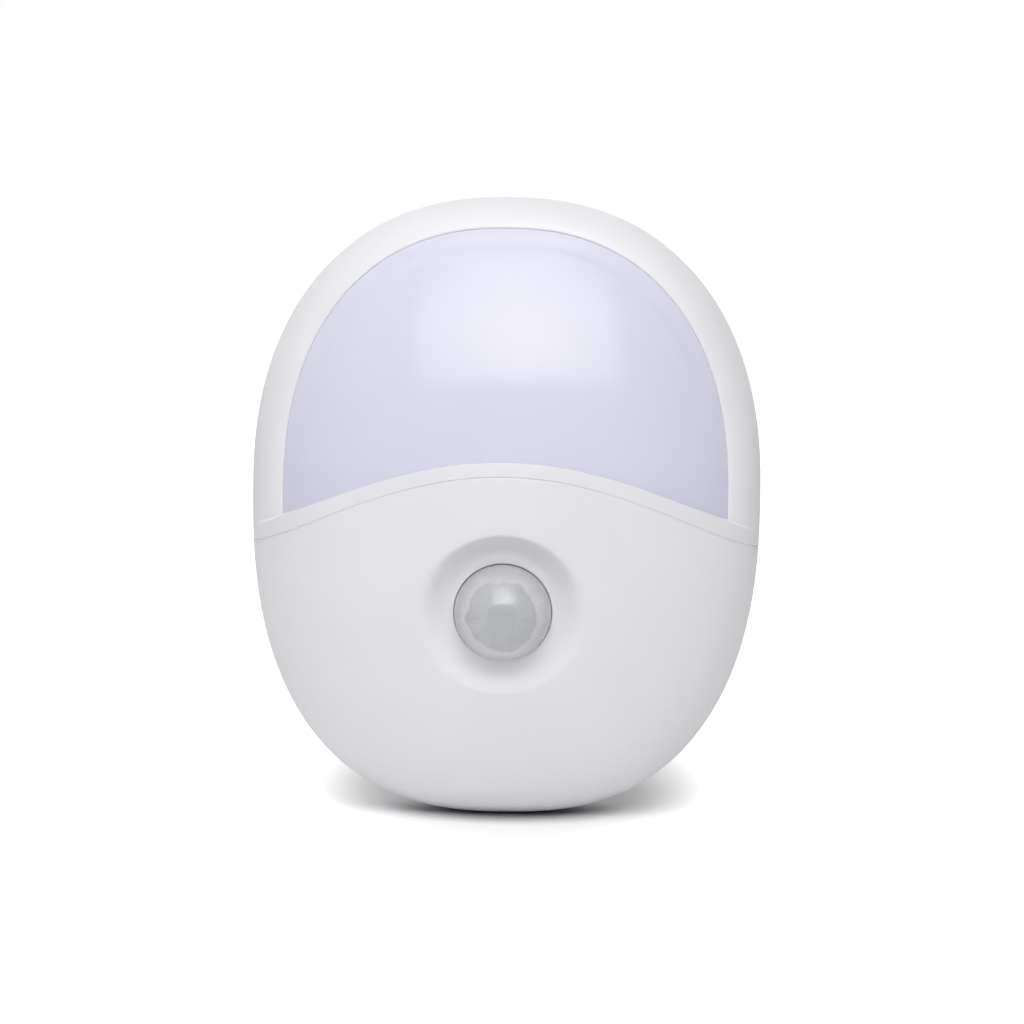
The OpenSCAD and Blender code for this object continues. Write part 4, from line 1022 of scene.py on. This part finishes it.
FLOOR_SIZE = 8
alone()
bpy.ops.mesh.primitive_plane_add(size=FLOOR_SIZE, location=(0, 0, cad_box[0].z))
floor = bpy.context.object
floor.name = "studio_floor"
paper = bpy.data.materials.new("white_paper")
paper.use_nodes = True
surface, sheet, place = opened(paper)
surface.inputs["Roughness"].default_value = 1.0
surface.inputs["Specular IOR Level"].default_value = 0.0
surface.inputs["Emission Strength"].default_value = 1.0
# The last of these is the grey of the painted contact shadow on the paper.
BLACK, WHITE, PAINTED_SHADOW_TONE = (0, 0, 0, 1), (1, 1, 1, 1), (0.22, 0.22, 0.22, 1)
seen = sheet.node("LightPath", "Is Camera Ray")


def away(x, y, stretch):
    """Distance on the floor from a point, with the depth stretched by that factor."""
    split = sheet.node("SeparateXYZ", 0, Vector=place)
    across, along = split - x, (split.beside(1) - y) * stretch
    return (across * across + along * along) ** 0.5


# The shadow keeps its own tone near the light, and the paper glows white further out
glow = seen * away(0.001, 0.005, 0.38).ramp(0.018, 0.046)
sheet.feed(surface.inputs["Emission Color"], glow.blend(BLACK, WHITE))
# Close round where the night light stands, the paper's colour goes grey for camera rays: a painted
# contact shadow.
painted_contact_shadow = 1 - seen * (1 - away(0.0005, PARTING_Y * MM, 1.35).ramp(0.004, 0.021))
sheet.feed(surface.inputs["Base Color"], painted_contact_shadow.blend(PAINTED_SHADOW_TONE, WHITE))
dress(floor, paper)

LIGHT_FAR = 0.8
aim = Vector((0, PARTING_Y * MM, 0))


def soft_box(name, up, right, wide, tall, power, faces_up, spread):
    """Soft box with its elevation, its side, its tilt and its spread in degrees.

    It is wide and tall in metres, and its power is in watts."""
    def way(up):
        a, b = math.radians(up), math.radians(right)
        return Vector((math.cos(a) * math.sin(b), -math.cos(a) * math.cos(b), math.sin(a)))

    bpy.ops.object.light_add(type="AREA")
    lamp = bpy.context.object
    lamp.name = name
    lamp.data.shape = "RECTANGLE"
    lamp.data.size, lamp.data.size_y = wide, tall
    lamp.data.energy = power
    lamp.data.spread = math.radians(spread)
    lamp.location = aim + way(up) * LIGHT_FAR
    lamp.rotation_euler = way(faces_up).to_track_quat("Z", "Y").to_euler()


soft_box("front_soft_box", 52, 4.5, 0.86, 0.8, power=1.8, faces_up=36, spread=82)
soft_box("top_soft_box", 82, -50, 0.8, 0.6, power=1.2, faces_up=82, spread=180)

ROOM_LIGHT, ROOM_LEFT = 0.25, 0.38
world = bpy.data.worlds.new("white_room")
bpy.context.scene.world = world
world.use_nodes = True
room = Shade(world.node_tree)
air = world.node_tree.nodes["Background"]
seen = room.node("LightPath", "Is Camera Ray")
mirrored = room.node("LightPath", "Is Glossy Ray")
through = room.node("LightPath", "Is Transmission Ray")
shown = (seen + mirrored + through).ramp(0.0, 1.0)
facing = room.node("SeparateXYZ", 0, Vector=room.node("TexCoord", "Generated"))
sides = ROOM_LIGHT + (facing * -ROOM_LEFT).maths("MAXIMUM", 0.0)
room.feed(air.inputs["Color"], (sides + shown * (1 - sides)).blend(BLACK, WHITE))
air.inputs["Strength"].default_value = 1.0

VIEW_UP, VIEW_SIDE, VIEW_ROLL = math.radians(5), math.radians(1), 0.0121
VIEW_PLACE = (0.000856, -0.003402, 0.65)
bpy.ops.object.camera_add()
camera = bpy.context.object
camera.name = "front_camera"
camera.data.lens = 144.95
camera.data.sensor_width = 36
tipped = Matrix.Rotation(math.pi / 2 - VIEW_UP, 4, "X") @ Matrix.Rotation(VIEW_ROLL, 4, "Z")
camera.matrix_world = (Matrix.Translation(aim) @ Matrix.Rotation(VIEW_SIDE, 4, "Z") @ tipped
                       @ Matrix.Translation(Vector(VIEW_PLACE)))
bpy.context.scene.camera = camera
bpy.context.scene.view_settings.view_transform = "Standard"
